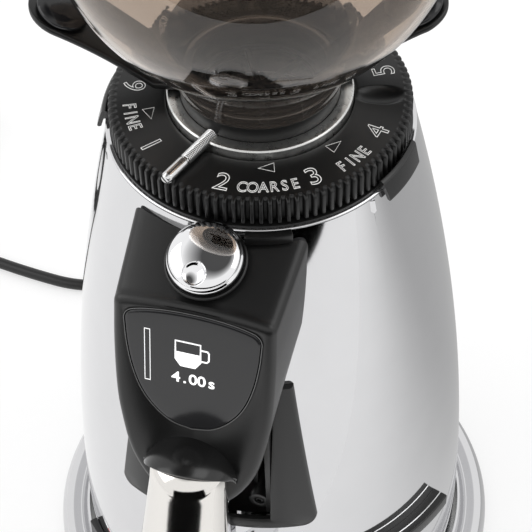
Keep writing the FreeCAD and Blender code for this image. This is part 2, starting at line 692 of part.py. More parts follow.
def hopper_lid():
    """Shallow domed lid with a round grip, and the separate skirt below it, outside the bowl's rim."""
    rim, top = dims.mouth_radius, dims.mouth + 6.3
    low = dims.mouth + 1.2
    keep(turned("skirt", [(rim + 0.5, low), (rim + 2.7, low), (rim + 2.7, top), (rim + 0.5, top)]), "lid_skirt")
    keep(turned("lid", [
        (0, top), (rim + 2.7, top), (rim + 2.7, top + 1),
        (rim + 1.9, top + 2.8, "via"), (rim, top + 3.6), (38, top + 8.2, "via"), (15, top + 10.4),
        (13.4, top + 14, "via"), (14.6, top + 18), (12.8, top + 20), (0, top + 20.6)]), "hopper_lid")


# ---- control head -------------------------------------------------------------------------------------


def on_face(thing, u, v, w):
    """Puts a thing made in face coordinates on the display face: u across, v up the face, w outwards."""
    tilt = math.radians(number(dims.face_tilt))
    y = number(dims.face_y) + v * math.sin(tilt) - w * math.cos(tilt)
    z = number(dims.face_z) + v * math.cos(tilt) + w * math.sin(tilt)
    return place(thing, u, y, z, axis=X_AXIS, angle=90 - number(dims.face_tilt))


def on_top(thing, u, v, w):
    """Puts a thing made upright on the head's sloping top: v up the slope, w away from it."""
    tilt = math.radians(number(dims.head_tilt))
    y = number(dims.head_back_y) + v * math.cos(tilt) - w * math.sin(tilt)
    z = number(dims.head_back_z) + v * math.sin(tilt) + w * math.cos(tilt)
    return place(thing, u, y, z, axis=X_AXIS, angle=number(dims.head_tilt))


def head_block(name, shrink):
    """The head's outer form, or its inside when shrunk: a shield outline run back to the housing, under a
    crowned sloping top and behind a leaning face."""
    half = dims.head_half - shrink
    low = 158.5 + shrink
    shield = padded(name + "_shield", "XZ_Plane", [
        (-half, 290), (-half, 212), (-half * 0.87, 186, "via"), (-half * 0.46, 163.5 + shrink),
        (0, low, "via"), (half * 0.46, 163.5 + shrink), (half * 0.87, 186, "via"), (half, 212), (half, 290)],
        80, offset=48)
    rise = number(dims.crown_rise)
    crown_radius = (number(dims.head_half) ** 2 + rise ** 2) / (2 * rise)
    crown = doc.addObject("Part::Cylinder", name + "_crown")
    crown.Radius, crown.Height = crown_radius - shrink, 200
    tilt = math.radians(number(dims.head_tilt))
    drop = crown_radius - rise
    back = 80
    y = number(dims.head_back_y) + drop * math.sin(tilt) + back * math.cos(tilt)
    z = number(dims.head_back_z) - drop * math.cos(tilt) + back * math.sin(tilt)
    place(crown, 0, y, z, axis=X_AXIS, angle=90 + number(dims.head_tilt))
    front = doc.addObject("Part::Box", name + "_front")
    front.Length, front.Width, front.Height = 120, 200, 60
    on_face(front, -60, -140, -shrink)
    whole = common(name + "_crowned", [shield, crown])
    return cut(name + "_faced", whole, [front, below_head(name + "_below", shrink)])


def below_head(name, shrink):
    """Everything under the head's sloping underside, which rises from the face back to the housing."""
    slope = math.radians(UNDER_SLOPE)
    along, up = -20, shrink - 90
    y = UNDER_FRONT[0] + along * math.cos(slope) - up * math.sin(slope)
    z = UNDER_FRONT[1] + along * math.sin(slope) + up * math.cos(slope)
    thing = doc.addObject("Part::Box", name)
    thing.Length, thing.Width, thing.Height = 120, 120, 90
    return place(thing, -60, y, z, axis=X_AXIS, angle=UNDER_SLOPE)


UNDER_FRONT = (-112, 161)
UNDER_SLOPE = 45.7


def window_outline(grow):
    """The display window's shield, in face coordinates: arched above, round below."""
    return [(-27.4 - grow, -5.5 + grow), (0, -0.8 + grow, "via"), (27.4 + grow, -5.5 + grow),
            (24.4 + grow, -32, "via"), (15.5 + grow, -51 - grow), (0, -59.4 - grow, "via"),
            (-15.5 - grow, -51 - grow), (-24.4 - grow, -32, "via")]


def head_shell():
    outer = head_block("head_outer", 0)
    inner = head_block("head_inner", number(dims.head_wall))
    window = on_face(padded("window_hole", "XY_Plane", window_outline(0.2), 12), 0, 0, -8)
    shaft_hole = on_top(rod("shaft_hole", 4.2, 0, 12), 0, -number(dims.knob_down_slope), -4)
    spout_hole = doc.addObject("Part::Cylinder", "spout_hole")
    spout_hole.Radius, spout_hole.Height = number(dims.spout_radius) + 1.8, 60
    along_spout(spout_hole, -48)
    against = bell_solid("head_seat", 0.2, 100)
    keep(cut("head", outer, [inner, window, shaft_hole, spout_hole, against]), "head_shell")


def along_spout(thing, along):
    """Puts an upright thing on the spout's leaning axis, so that it starts at a distance up it."""
    tilt = math.radians(number(dims.spout_tilt))
    y = number(dims.spout_y) + along * math.sin(tilt)
    z = number(dims.spout_z) + along * math.cos(tilt)
    return place(thing, 0, y, z, axis=X_AXIS, angle=-number(dims.spout_tilt))


def display():
    keep(on_face(padded("window", "XY_Plane", window_outline(0), 1.6), 0, 0, -1.2), "display_window")
    module = on_face(box("module_plate", (0, 36), (0, 27), (0, 2)), -18, -37, -6.2)
    screen = on_face(box("module_screen", (0, 30), (0, 22), (0, 2.4)), -15, -34.5, -4.2)
    keep(fused("module", [module, screen]), "display_module")


def knob():
    """Chrome jog knob: a shallow dome with a finger dimple, on a shaft that turns and clicks down."""
    down = -number(dims.knob_down_slope)
    rise = number(dims.crown_rise)
    r = dims.knob_radius
    dome = turned("knob_dome", [(2.5, 1.3), (r - 0.6, 1.3), (r, 1.9), (r, 3.4), (r - 0.5, 4.4, "via"),
                                (r - 1.4, 4.9), (7.6, 7.2, "via"), (0, 8), (0, 5.2), (2.5, 5.2)])
    dimple = ball("knob_dimple", 5, 1.2, -11, 9.3)
    keep(on_top(cut("knob", dome, [dimple]), 0, down, rise), "jog_knob")
    keep(on_top(rod("knob_stem", 2.45, 0, 11), 0, down, rise - 6), "knob_shaft")
    body = rod("encoder_can", 7, 0, 6)
    bore = rod("encoder_bore", 2.55, -1, 7)
    keep(on_top(cut("encoder", body, [bore]), 0, down, rise - 8.8), "knob_encoder")


def spout():
    """Steel funnel that leans forward, and the black hood that it comes out of."""
    r, wall = number(dims.spout_radius), number(dims.spout_wall)
    reach, flare = 64, 4.4
    tube = turned("funnel", [
        (r - wall - 1.3, 11.5), (r - 1.3, 11.5), (r, 0), (r + flare, -reach),
        (r + flare - wall, -reach), (r - wall, 0)])
    keep(along_spout(tube, 0), "spout_tube")
    dome = ball("hood_ball", 20.6, 0, -107, 177)
    hollow = doc.addObject("Part::Cylinder", "hood_hollow")
    hollow.Radius, hollow.Height = r + 0.5, 70
    along_spout(hollow, -50)
    below = doc.addObject("Part::Cylinder", "hood_below")
    below.Radius, below.Height = 60, 80
    along_spout(below, -87)
    behind = box("hood_behind", (-30, 30), (-89, -60), (140, 220))
    shave = head_block("hood_back", 0)
    keep(cut("hood", dome, [hollow, shave, below, behind]), "spout_hood")


def chute():
    """Square duct from the chamber's outlet, through the housing's front, to the spout's mouth."""
    length = 40
    outer = box("chute_outer", (-10.5, 10.5), (-length, 0), (-8.5, 8.5))
    inner = box("chute_inner", (-9, 9), (-length - 1, 1), (-7, 7))
    duct = place(cut("duct", outer, [inner]), 0, -56.6, 230.4, axis=X_AXIS, angle=24)
    seat = rod("chute_seat", dims.chamber_radius, 200, 270)
    keep(cut("chute", duct, [seat]), "outlet_chute")


def index_block():
    block = sector("index", 62, 66.8, 268, dims.body_top + dims.trim_height + 0.4, 11, 27)
    keep(cut("index_cut", block, [head_block("index_seat", 0), bell_solid("index_back", 0.1, 200)]),
         "dial_index_block")


# ---- front panel and fork -----------------------------------------------------------------------------


def front_panel():
    """Black trapezoid plate on the housing's front, open in its middle for the fork rail."""
    skin = bell_shell("panel_skin", 0.2, dims.panel_thickness + 0.2, 60)
    low = dims.panel_bottom
    plan = padded("panel_plan", "XZ_Plane", [
        (-40, low), (40, low), (43.4, low + 1.2, "via"), (44.4, low + 4.4), (33, 205), (-33, 205),
        (-44.4, low + 4.4), (-43.4, low + 1.2, "via")], 100, offset=20)
    half = dims.rail_half
    middle = box("panel_middle", (-half - 0.2, half + 0.2), (-110, -40), (low + 6, 230))
    blank = common("panel_blank", [skin, plan])
    keep(cut("panel", blank, [middle, head_block("panel_top", -0.2)]), "front_panel")


def fork_rail():
    """Moulded channel behind the panel, with ribs, height slots and two screw bosses."""
    half, low, high = dims.rail_half, 124.4, 188
    back = box("rail_back", (-half, half), (-70, -67), (low, high))
    walls, slots, ribs, bosses = [], [], [], []
    for side in (-1, 1):
        edge = sorted((side * number(half), side * (number(half) - 2.4)))
        walls.append(box(f"rail_wall_{side + 1}", edge, (-83.5, -68), (low, high)))
        rib = sorted((side * 18.6, side * 16.6))
        ribs.append(box(f"rail_rib_{side + 1}", rib, (-79, -69), (138, 186)))
        bosses.append(radial_boss(f"rail_boss_{side + 1}", side * 20, 131))
        for k in range(5):
            reach = sorted((side * 20, side * 30))
            slots.append(box(f"rail_slot_{side + 1}_{k}", reach, (-80.5, -76), (142 + 8 * k, 147 + 8 * k)))
    button = doc.addObject("Part::Cylinder", "rail_button_hole")
    button.Radius, button.Height = 6.4, 20
    place(button, 0, -60, START_HEIGHT, axis=X_AXIS, angle=90)
    collar = radial_boss("rail_collar", 0, START_HEIGHT, radius=8.6, front=-76, depth=7)
    whole = fused("rail_whole", [back, collar] + walls + ribs + bosses)
    sockets = [radial_boss(f"rail_socket_{side + 1}", side * 20, 131, radius=2.2, front=-90, depth=16)
               for side in (-1, 1)]
    keep(cut("rail", whole, slots + [button] + sockets), "fork_rail")
    screws = []
    for side in (-1, 1):
        head = radial_boss(f"panel_screw_{side + 1}", side * 20, 131, radius=2.1, front=-82.6, depth=8.6)
        hex_hole = radial_boss(f"panel_hex_{side + 1}", side * 20, 131, radius=1.2, front=-84, depth=3)
        screws.append(cut(f"panel_screw_cut_{side + 1}", head, [hex_hole]))
    keep(group("panel_screw_set", screws), "panel_screws")


START_HEIGHT = 170


def radial_boss(name, x, z, radius=4.6, front=-83, depth=14):
    """A cylinder along Y, from its front face back."""
    thing = doc.addObject("Part::Cylinder", name)
    thing.Radius, thing.Height = radius, depth
    return place(thing, x, front + depth, z, axis=X_AXIS, angle=90)


def start_button():
    keep(radial_boss("start_cap", 0, START_HEIGHT, radius=6.1, front=-87, depth=15.4), "start_button")


def fork():
    """Chrome fork for the portafilter: a shank on the rail and two arms that reach forward."""
    low = dims.fork_height
    shank = box("fork_shank", (-10, 10), (-78, -71.5), (low + 42, low + 62))
    bridge = box("fork_bridge", (-10, 10), (-98, -73), (low + 50, low + 54))
    drop = box("fork_drop", (-10, 10), (-98, -93.6), (low, low + 54))
    arms = padded("fork_arms", "XY_Plane", [
        (-16, -94), (-36, -104), (-39.5, -116), (-39.5, -152), (-37, -156), (-33.4, -156), (-31.6, -152),
        (-31.6, -122), (0, -101, "via"), (31.6, -122), (31.6, -152), (33.4, -156), (37, -156), (39.5, -152),
        (39.5, -116), (36, -104), (16, -94)], 5, offset=low)
    keep(fused("fork", [shank, bridge, drop, arms]), "portafilter_fork")
    keep(radial_boss("fork_clamp", 0, number(low) + 58, radius=3.2, front=-82, depth=4), "fork_screw")


# ---- switch, gland and cord ---------------------------------------------------------------------------


def power_switch():
    """Rocker switch low on the housing's front left: a black bezel with a lit rocker in it."""
    mid = SWITCH_HEIGHT
    rim = box("bezel_frame", (-14.5, 14.5), (-94.6, -86), (mid - 11, mid + 11))
    frame = cut("bezel_front", rim, [bell_solid("bezel_back", 0.1, 5)])
    sleeve = box("bezel_sleeve", (-12, 12), (-93.4, -78), (mid - 8.6, mid + 8.6))
    hollow = box("bezel_hollow", (-10, 10), (-96, -77), (mid - 6.6, mid + 6.6))
    bezel = cut("bezel", fused("bezel_whole", [frame, sleeve]), [hollow])
    keep(place(bezel, axis=Z_AXIS, angle=SWITCH_AZIMUTH), "switch_bezel")
    rocker = padded("rocker", "YZ_Plane", [
        (-86, mid - 4.6), (-94.2, mid - 6), (-94.6, mid, "via"), (-96.6, mid + 5.3), (-86, mid + 5)],
        19, midplane=True)
    pivot = doc.addObject("Part::Cylinder", "rocker_pivot")
    pivot.Radius, pivot.Height = 1.6, 19.8
    place(pivot, -9.9, ROCKER_AXIS_Y, mid, axis=Y_AXIS, angle=90)
    keep(place(fused("rocker_whole", [rocker, pivot]), axis=Z_AXIS, angle=SWITCH_AZIMUTH), "power_rocker")


def gland():
    """Moulded strain relief: a flange on the housing and a tapered sleeve for the cord."""
    bore = dims.cord_thickness / 2
    sleeve = turned("sleeve", [
        (bore, -4), (8, -4), (8, 0.5), (9.6, 0.5), (9.6, 3), (6.4, 4.2), (4.6, 33), (bore, 33)])
    azimuth = number(dims.gland_azimuth)
    x, y = polar(GLAND_RADIUS - 33, azimuth)
    across = V(math.cos(math.radians(azimuth)), math.sin(math.radians(azimuth)), 0)
    keep(place(sleeve, x, y, dims.gland_height, axis=across, angle=90), "cord_gland")


GLAND_RADIUS = 124.4


def cord_route():
    """The cord's route on the surface behind the grinder, from the gland to the coil."""
    x, y = polar(GLAND_RADIUS, number(dims.gland_azimuth))
    lie = number(dims.cord_thickness) / 2
    return [V(x, y, number(dims.gland_height)), V(x - 7.8, y + 13.9, 27.5), V(-83, 133, 16),
            V(-101, 134.5, 6),
            V(-122, 124, lie), V(-148, 113.5, lie), V(-178, 115.5, lie), V(-210, 120, lie),
            V(-242, 127, lie), V(-270, 131.6, lie)]


def tube_along(points, radius):
    """A round tube on straight runs joined by tangent arcs, and the arcs' radii."""
    edges, radii, start = [], [], points[0]
    for before, corner, after in zip(points, points[1:], points[2:]):
        back, ahead = before - corner, after - corner
        half_turn = (math.pi - back.getAngle(ahead)) / 2
        bend = 0.45 * min(back.Length, ahead.Length) / math.tan(half_turn)
        reach = bend * math.tan(half_turn)
        radii.append(bend)
        into = corner + V(back).normalize() * reach
        out = corner + V(ahead).normalize() * reach
        inward = (V(back).normalize() + V(ahead).normalize()).normalize()
        middle = corner + inward * (bend / math.cos(half_turn) - bend)
        edges += [Part.LineSegment(start, into).toShape(), Part.Arc(into, middle, out).toShape()]
        start = out
    edges.append(Part.LineSegment(start, points[-1]).toShape())
    path = Part.Wire(edges)
    section = Part.Wire(Part.Circle(points[0], points[1] - points[0], radius).toShape())
    return path.makePipeShell([section], True, False), path.Length, radii


COIL_CENTRE = (-291, 174)
COIL_MEAN = 35.5


def cord():
    """Mains cord: the stretch that lies free, the coil of the rest, and the coil of the rest."""
    radius = number(dims.cord_thickness) / 2
    shape, length, radii = tube_along(cord_route(), radius)
    expected = math.pi * radius ** 2 * length
    print("cord tube %.1f mm long, its volume over its section times length %.4f"
          % (length, shape.Volume / expected))
    print("cord arc radii", [round(bend, 1) for bend in radii])
    tube = doc.addObject("Part::Feature", "cord_tube")
    tube.Shape = shape
    keep(tube, "power_cord")
    wide, tall = 3 * radius, 2 * radius
    coil = turned("coil", [
        (COIL_MEAN - wide, radius), (COIL_MEAN - wide + radius, 0), (COIL_MEAN + wide - radius, 0),
        (COIL_MEAN + wide, radius), (COIL_MEAN + wide, 2 * tall - radius),
        (COIL_MEAN + wide - radius, 2 * tall), (COIL_MEAN - wide + radius, 2 * tall),
        (COIL_MEAN - wide, 2 * tall - radius)])
    keep(place(coil, COIL_CENTRE[0], COIL_CENTRE[1], 0), "power_cord_coil")


def plug():
    """Two-pin plug lying on the coil, with a grip that tapers to the cord."""
    x, y, z = PLUG_PLACE
    body = padded("plug_form", "XY_Plane", [
        (-5, 0), (5, 0), (9, 9), (13, 22), (16.5, 30), (16.5, 40), (-16.5, 40), (-16.5, 30), (-13, 22),
        (-9, 9)], 14)
    keep(place(body, x, y, z, axis=Z_AXIS, angle=PLUG_TURN), "plug_body")
    pins = []
    for side in (-1, 1):
        pin = doc.addObject("Part::Cylinder", f"plug_pin_{side + 1}")
        pin.Radius, pin.Height = 2, 19
        place(pin, side * 9.5, 59, 7, axis=X_AXIS, angle=90)
        pins.append(pin)
    keep(place(group("plug_pin_pair", pins), x, y, z, axis=Z_AXIS, angle=PLUG_TURN), "plug_pins")


PLUG_PLACE = (-305, 209.5, 12.9)
PLUG_TURN = -90


def check_and_write():
    """Recomputes, stops on any failed or empty object, and writes each sub-part's STEP file."""
    doc.recompute()
    for thing in doc.Objects:
        if {"Invalid", "Error"} & set(thing.State):
            raise RuntimeError(f"{thing.Name} is {thing.State}")
    os.makedirs("parts", exist_ok=True)
    for thing in SUBPARTS:
        shape = thing.Shape
        if shape.isNull() or not shape.isValid() or not shape.Solids:
            raise RuntimeError(f"{thing.Label} has no valid solid")
        shape.exportStep(f"parts/{thing.Label}.step")
    print(len(SUBPARTS), "sub-parts written")


BUILDERS = (
    foot_ring, base_dish, bottom_plate, body_shell, side_louvre, top_trim, cap_ring, lower_motor_bell,
    upper_motor_bell, stator, rotor, drive_shaft, electrics, grinding_chamber, springs, upper_burr_group,
    lower_burr_group, dial, dial_screws, lock_screw, lever, hopper, hopper_lid, head_shell, display, knob,
    spout, chute, index_block, front_panel, fork_rail, start_button, fork, power_switch, gland, cord, plug)
for builder in BUILDERS:
    builder()
bearing("lower_bearing", 34)
bearing("upper_bearing", 156)
check_and_write()
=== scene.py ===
"""Looks of the burr coffee grinder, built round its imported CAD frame.

Lengths are given in millimetres and turned into metres by mm(). An azimuth is an angle about Z, counted from
the front (-Y) towards +X, in degrees.
"""
import json
import math

import bmesh
import bpy
from mathutils import Matrix, Vector


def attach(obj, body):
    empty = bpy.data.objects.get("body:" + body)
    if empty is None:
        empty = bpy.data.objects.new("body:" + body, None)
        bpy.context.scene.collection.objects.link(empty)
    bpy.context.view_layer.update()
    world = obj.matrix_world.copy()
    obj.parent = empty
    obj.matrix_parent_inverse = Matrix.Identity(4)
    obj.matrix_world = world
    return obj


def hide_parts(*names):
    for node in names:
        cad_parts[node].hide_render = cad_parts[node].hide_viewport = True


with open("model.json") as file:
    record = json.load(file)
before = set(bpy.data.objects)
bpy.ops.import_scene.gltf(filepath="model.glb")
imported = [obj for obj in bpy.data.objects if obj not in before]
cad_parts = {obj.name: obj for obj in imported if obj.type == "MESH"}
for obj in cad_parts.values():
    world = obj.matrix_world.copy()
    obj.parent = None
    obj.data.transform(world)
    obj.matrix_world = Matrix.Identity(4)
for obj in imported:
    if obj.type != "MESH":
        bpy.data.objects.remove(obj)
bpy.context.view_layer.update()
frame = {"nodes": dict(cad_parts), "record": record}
scene = bpy.context.scene


def mm(*values):
    """Millimetres as metres: one number, or a Vector of three."""
    return values[0] * 0.001 if len(values) == 1 else Vector(v * 0.001 for v in values)


def polar(radius, azimuth, z=0.0):
    """A point in millimetres from its radius, azimuth and height."""
    a = math.radians(azimuth)
    return radius * math.sin(a), -radius * math.cos(a), z


# ---- materials ----

MATERIALS = {}


def set_inputs(node, **values):
    """Sets inputs of a shader node by name, where _ stands for a space."""
    for key, value in values.items():
        node.inputs[key.replace("_", " ")].default_value = value


def material(name, color, rough, metal=0.0, bump=0.0, grain=900.0, spread=0.0, stretch=(1, 1, 1), tint=None,
             **sockets):
    """A procedural surface: a noise varies its roughness and colour and gives it a fine relief."""
    mat = bpy.data.materials.new(name)
    mat.use_nodes = True
    nodes, links = mat.node_tree.nodes, mat.node_tree.links
    shader = nodes["Principled BSDF"]
    set_inputs(shader, Metallic=metal, **sockets)
    where = nodes.new("ShaderNodeTexCoord")
    scale = nodes.new("ShaderNodeMapping")
    set_inputs(scale, Scale=stretch)
    links.new(where.outputs["Object"], scale.inputs["Vector"])
    noise = nodes.new("ShaderNodeTexNoise")
    set_inputs(noise, Scale=grain, Detail=4.0)
    links.new(scale.outputs["Vector"], noise.inputs["Vector"])
    ramp = nodes.new("ShaderNodeMapRange")
    set_inputs(ramp, To_Min=max(0.0, rough - spread), To_Max=min(1.0, rough + spread))
    links.new(noise.outputs["Fac"], ramp.inputs["Value"])
    links.new(ramp.outputs["Result"], shader.inputs["Roughness"])
    mix = nodes.new("ShaderNodeMix")
    mix.data_type = "RGBA"
    other = tint or tuple(min(1.0, c * 1.12) for c in color)
    set_inputs(mix, A=(*color, 1), B=(*other, 1))
    links.new(noise.outputs["Fac"], mix.inputs["Factor"])
    links.new(mix.outputs["Result"], shader.inputs["Base Color"])
    if bump:
        relief = nodes.new("ShaderNodeBump")
        set_inputs(relief, Strength=bump, Distance=0.0002)
        links.new(noise.outputs["Fac"], relief.inputs["Height"])
        links.new(relief.outputs["Normal"], shader.inputs["Normal"])
    MATERIALS[name] = mat
    return mat


material("polished_steel", (0.66, 0.66, 0.67), 0.05, 1.0, 0.0, 60, 0.02, tint=(0.70, 0.70, 0.71))
material("mirror_chrome", (0.80, 0.80, 0.81), 0.03, 1.0, 0.0, 80, 0.015)
material("zinc_plate", (0.50, 0.51, 0.52), 0.38, 1.0, 0.15, 300, 0.1, tint=(0.62, 0.62, 0.60))
material("rubber_black", (0.012, 0.012, 0.012), 0.75, 0.0, 0.25, 1500, 0.08)
material("cord_black", (0.006, 0.006, 0.006), 0.42, 0.0, 0.1, 1200, 0.06)
material("black_plastic", (0.005, 0.005, 0.005), 0.32, 0.0, 0.12, 2600, 0.06)
material("head_black", (0.004, 0.004, 0.004), 0.36, 0.0, 0.10, 3200, 0.05, Specular_IOR_Level=0.5)
material("dial_black", (0.004, 0.004, 0.004), 0.38, 0.0, 0.10, 2400, 0.07)
material("gloss_black", (0.010, 0.010, 0.011), 0.08, 0.0, 0.0, 500, 0.03)
material("grey_plastic", (0.30, 0.30, 0.31), 0.45, 0.0, 0.1, 1800, 0.06)
material("cast_aluminium", (0.52, 0.53, 0.54), 0.46, 1.0, 0.6, 700, 0.12)
material("lamination", (0.10, 0.09, 0.09), 0.55, 0.6, 0.8, 90, 0.1, stretch=(1, 1, 30))
material("bright_steel", (0.70, 0.70, 0.70), 0.16, 1.0, 0.05, 900, 0.06)
material("black_steel", (0.02, 0.02, 0.02), 0.30, 0.7, 0.1, 1200, 0.08)
material("burr_steel", (0.45, 0.45, 0.46), 0.30, 1.0, 0.2, 900, 0.1)
material("satin_nickel", (0.50, 0.50, 0.49), 0.30, 1.0, 0.35, 420, 0.12, tint=(0.78, 0.78, 0.76))
material("spout_steel", (0.74, 0.72, 0.69), 0.09, 1.0, 0.05, 120, 0.05, stretch=(30, 30, 0.6))
material("window_gloss", (0.014, 0.014, 0.015), 0.14, 0.0, 0.0, 500, 0.03)
material("board_green", (0.02, 0.12, 0.05), 0.40, 0.0, 0.2, 600, 0.1)
material("rocker_red", (0.60, 0.01, 0.01), 0.18, 0.0, 0.0, 400, 0.04)
material("sign_white", (0.92, 0.92, 0.92), 0.5, 0.0, 0.0, 400, 0.0, Emission_Color=(1, 1, 1, 1),
         Emission_Strength=0.55)
# The dial print shines by itself a little (emission 0.12): a painted glow, as the print is no lamp.
material("print_white", (0.86, 0.86, 0.84), 0.5, 0.0, 0.0, 900, 0.05, Emission_Color=(1, 1, 1, 1),
         Emission_Strength=0.12)
material("smoke_tint", (0.56, 0.49, 0.43), 0.01, 0.0, 0.0, 60, 0.008, tint=(0.60, 0.53, 0.47),
         Transmission_Weight=1.0, IOR=1.45)

material("smoke_dark", (0.16, 0.14, 0.125), 0.02, 0.0, 0.0, 60, 0.01, Transmission_Weight=0.85, IOR=1.45)
material("bead_grey", (0.10, 0.10, 0.10), 0.22, 0.0, 0.0, 500, 0.03)
material("pad_black", (0.008, 0.008, 0.009), 0.10, 0.0, 0.0, 500, 0.03)
material("ear_black", (0.010, 0.010, 0.010), 0.24, 0.0, 0.05, 1800, 0.05)
material("visor_black", (0.012, 0.012, 0.012), 0.20, 0.0, 0.0, 1500, 0.04)
material("panel_black", (0.007, 0.007, 0.007), 0.34, 0.0, 0.12, 3000, 0.05)

SLOT_OF = {row["node"]: row["material_slot"] for row in frame["record"]["subparts"]}
BODY_OF = {node: body for body, row in frame["record"]["behaviour"]["bodies"].items() for node in row}
for node, thing in frame["nodes"].items():
    thing.data.materials.clear()
    thing.data.materials.append(MATERIALS[SLOT_OF[node]])

# ---- mesh helpers ----


def linked(name, data):
    """A new object in the scene."""
    thing = bpy.data.objects.new(name, data)
    scene.collection.objects.link(thing)
    return thing


def mesh_piece(name, verts, faces, slot, body, stands_for=(), matrix=None):
    """A mesh from points in millimetres, which rides on a body and may replace CAD nodes."""
    mesh = bpy.data.meshes.new(name)
    mesh.from_pydata([mm(*v) for v in verts], [], faces)
    thing = linked(name, mesh)
    tidy = bmesh.new()
    tidy.from_mesh(mesh)
    bmesh.ops.remove_doubles(tidy, verts=tidy.verts, dist=1e-7)
    bmesh.ops.recalc_face_normals(tidy, faces=tidy.faces)
    if matrix:
        bmesh.ops.transform(tidy, matrix=matrix, verts=tidy.verts)
    tidy.to_mesh(mesh)
    tidy.free()
    mesh.materials.append(MATERIALS[slot])
    mesh.shade_smooth()
    return settle(thing, slot, body, stands_for)


def settle(thing, slot, body, stands_for=()):
    """Puts a piece on its body and hides the CAD nodes that it stands for."""
    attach(thing, body)
    spare = SLOT_OF[stands_for[0]] if stands_for else "black_plastic"
    slot if slot in RECORD_SLOTS else spare
    if stands_for:
        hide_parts(*stands_for)
    return thing


RECORD_SLOTS = {m["slot"] for m in frame["record"]["materials"]}


def modify(thing, kind, **settings):
    """Applies one modifier to a mesh."""
    mod = thing.modifiers.new(kind, kind)
    for key, value in settings.items():
        setattr(mod, key, value)
    graph = bpy.context.evaluated_depsgraph_get()
    fresh = bpy.data.meshes.new_from_object(thing.evaluated_get(graph))
    thing.modifiers.clear()
    fresh.name = thing.data.name
    thing.data = fresh
    return thing


def rounded(profile, radius, steps=4):
    """A polyline with each inner corner rounded. A corner may carry its own radius as a third number."""
    out = [profile[0][:2]]
    for before, corner, after in zip(profile, profile[1:], profile[2:]):
        r = corner[2] if len(corner) > 2 else radius
        a, p, b = Vector(before[:2]), Vector(corner[:2]), Vector(after[:2])
        back, ahead = (a - p), (b - p)
        reach = min(r, 0.49 * back.length, 0.49 * ahead.length)
        if reach < 1e-4:
            out.append(tuple(p))
            continue
        start, stop = p + back.normalized() * reach, p + ahead.normalized() * reach
        for k in range(steps + 1):
            s = k / steps
            out.append(tuple(start * (1 - s) ** 2 + p * (2 * s * (1 - s)) + stop * s ** 2))
    out.append(profile[-1][:2])
    return out


def quads(rows, columns, join_rows=False, join_columns=True):
    """Faces over points that lie in rows, where the last row or column may join the first."""
    faces = []
    for i in range(rows if join_rows else rows - 1):
        j = (i + 1) % rows
        for k in range(columns if join_columns else columns - 1):
            m = (k + 1) % columns
            faces.append((i * columns + k, i * columns + m, j * columns + m, j * columns + k))
    return faces


def lathe(name, profile, slot, body, stands_for=(), segments=128, closed=True, matrix=None):
    """A turned piece from (radius, height) points. A closed profile gives a solid ring."""
    verts = []
    for r, z in profile:
        for k in range(segments):
            a = 2 * math.pi * k / segments
            verts.append((r * math.sin(a), -r * math.cos(a), z))
    faces = quads(len(profile), segments, closed)
    return mesh_piece(name, verts, faces, slot, body, stands_for, matrix)


def spin(angle, axis="Z"):
    """A turn about one axis, in degrees."""
    return Matrix.Rotation(math.radians(angle), 4, axis)


def moved(x, y, z):
    """A shift in millimetres."""
    return Matrix.Translation(mm(x, y, z))


def placed(x, y, z, axis="X", angle=0.0, then=0.0):
    """A matrix for a point in millimetres, with a turn about one axis and then about Z."""
    return spin(then) @ moved(x, y, z) @ spin(angle, axis)


def curve_between(points, count):
    """Points spaced evenly along a Catmull-Rom curve through the given ones."""
    pts = [Vector(p) for p in points]
    pts = [pts[0] * 2 - pts[1]] + pts + [pts[-1] * 2 - pts[-2]]
    dense = []
    for a, b, c, d in zip(pts, pts[1:], pts[2:], pts[3:]):
        for k in range(24):
            s = k / 24
            dense.append(0.5 * ((2 * b) + (c - a) * s + (2 * a - 5 * b + 4 * c - d) * s ** 2
                                + (3 * b - a - 3 * c + d) * s ** 3))
    dense.append(pts[-2])
    total = [0.0]
    for p, q in zip(dense, dense[1:]):
        total.append(total[-1] + (q - p).length)
    out, i = [], 0
    for k in range(count):
        want = total[-1] * k / (count - 1)
        while i < len(total) - 2 and total[i + 1] < want:
            i += 1
        step = total[i + 1] - total[i]
        out.append(dense[i].lerp(dense[i + 1], (want - total[i]) / step if step else 0))
    return out


# ---- housing ----

BODY_FOOT, BODY_SHOULDER, BODY_FLARE = 91.6, 40.0, 1976.0
BODY_TOP, BODY_LOW, SHEET = 278.0, 9.0, 1.5


def body_radius(z):
    """Outer radius of the housing at a height."""
    return BODY_FOOT - max(0.0, z - BODY_SHOULDER) ** 2 / BODY_FLARE


VENT = (32.0, 71.0, 81.0, 86.6)
SWITCH_AZIMUTH, SWITCH_Z, SWITCH_ARC, SWITCH_HALF = -44.0, 30.5, 7.6, 9.0
RAIL_HALF, RAIL_LOW, RAIL_HIGH = 25.9, 124.0, 190.0


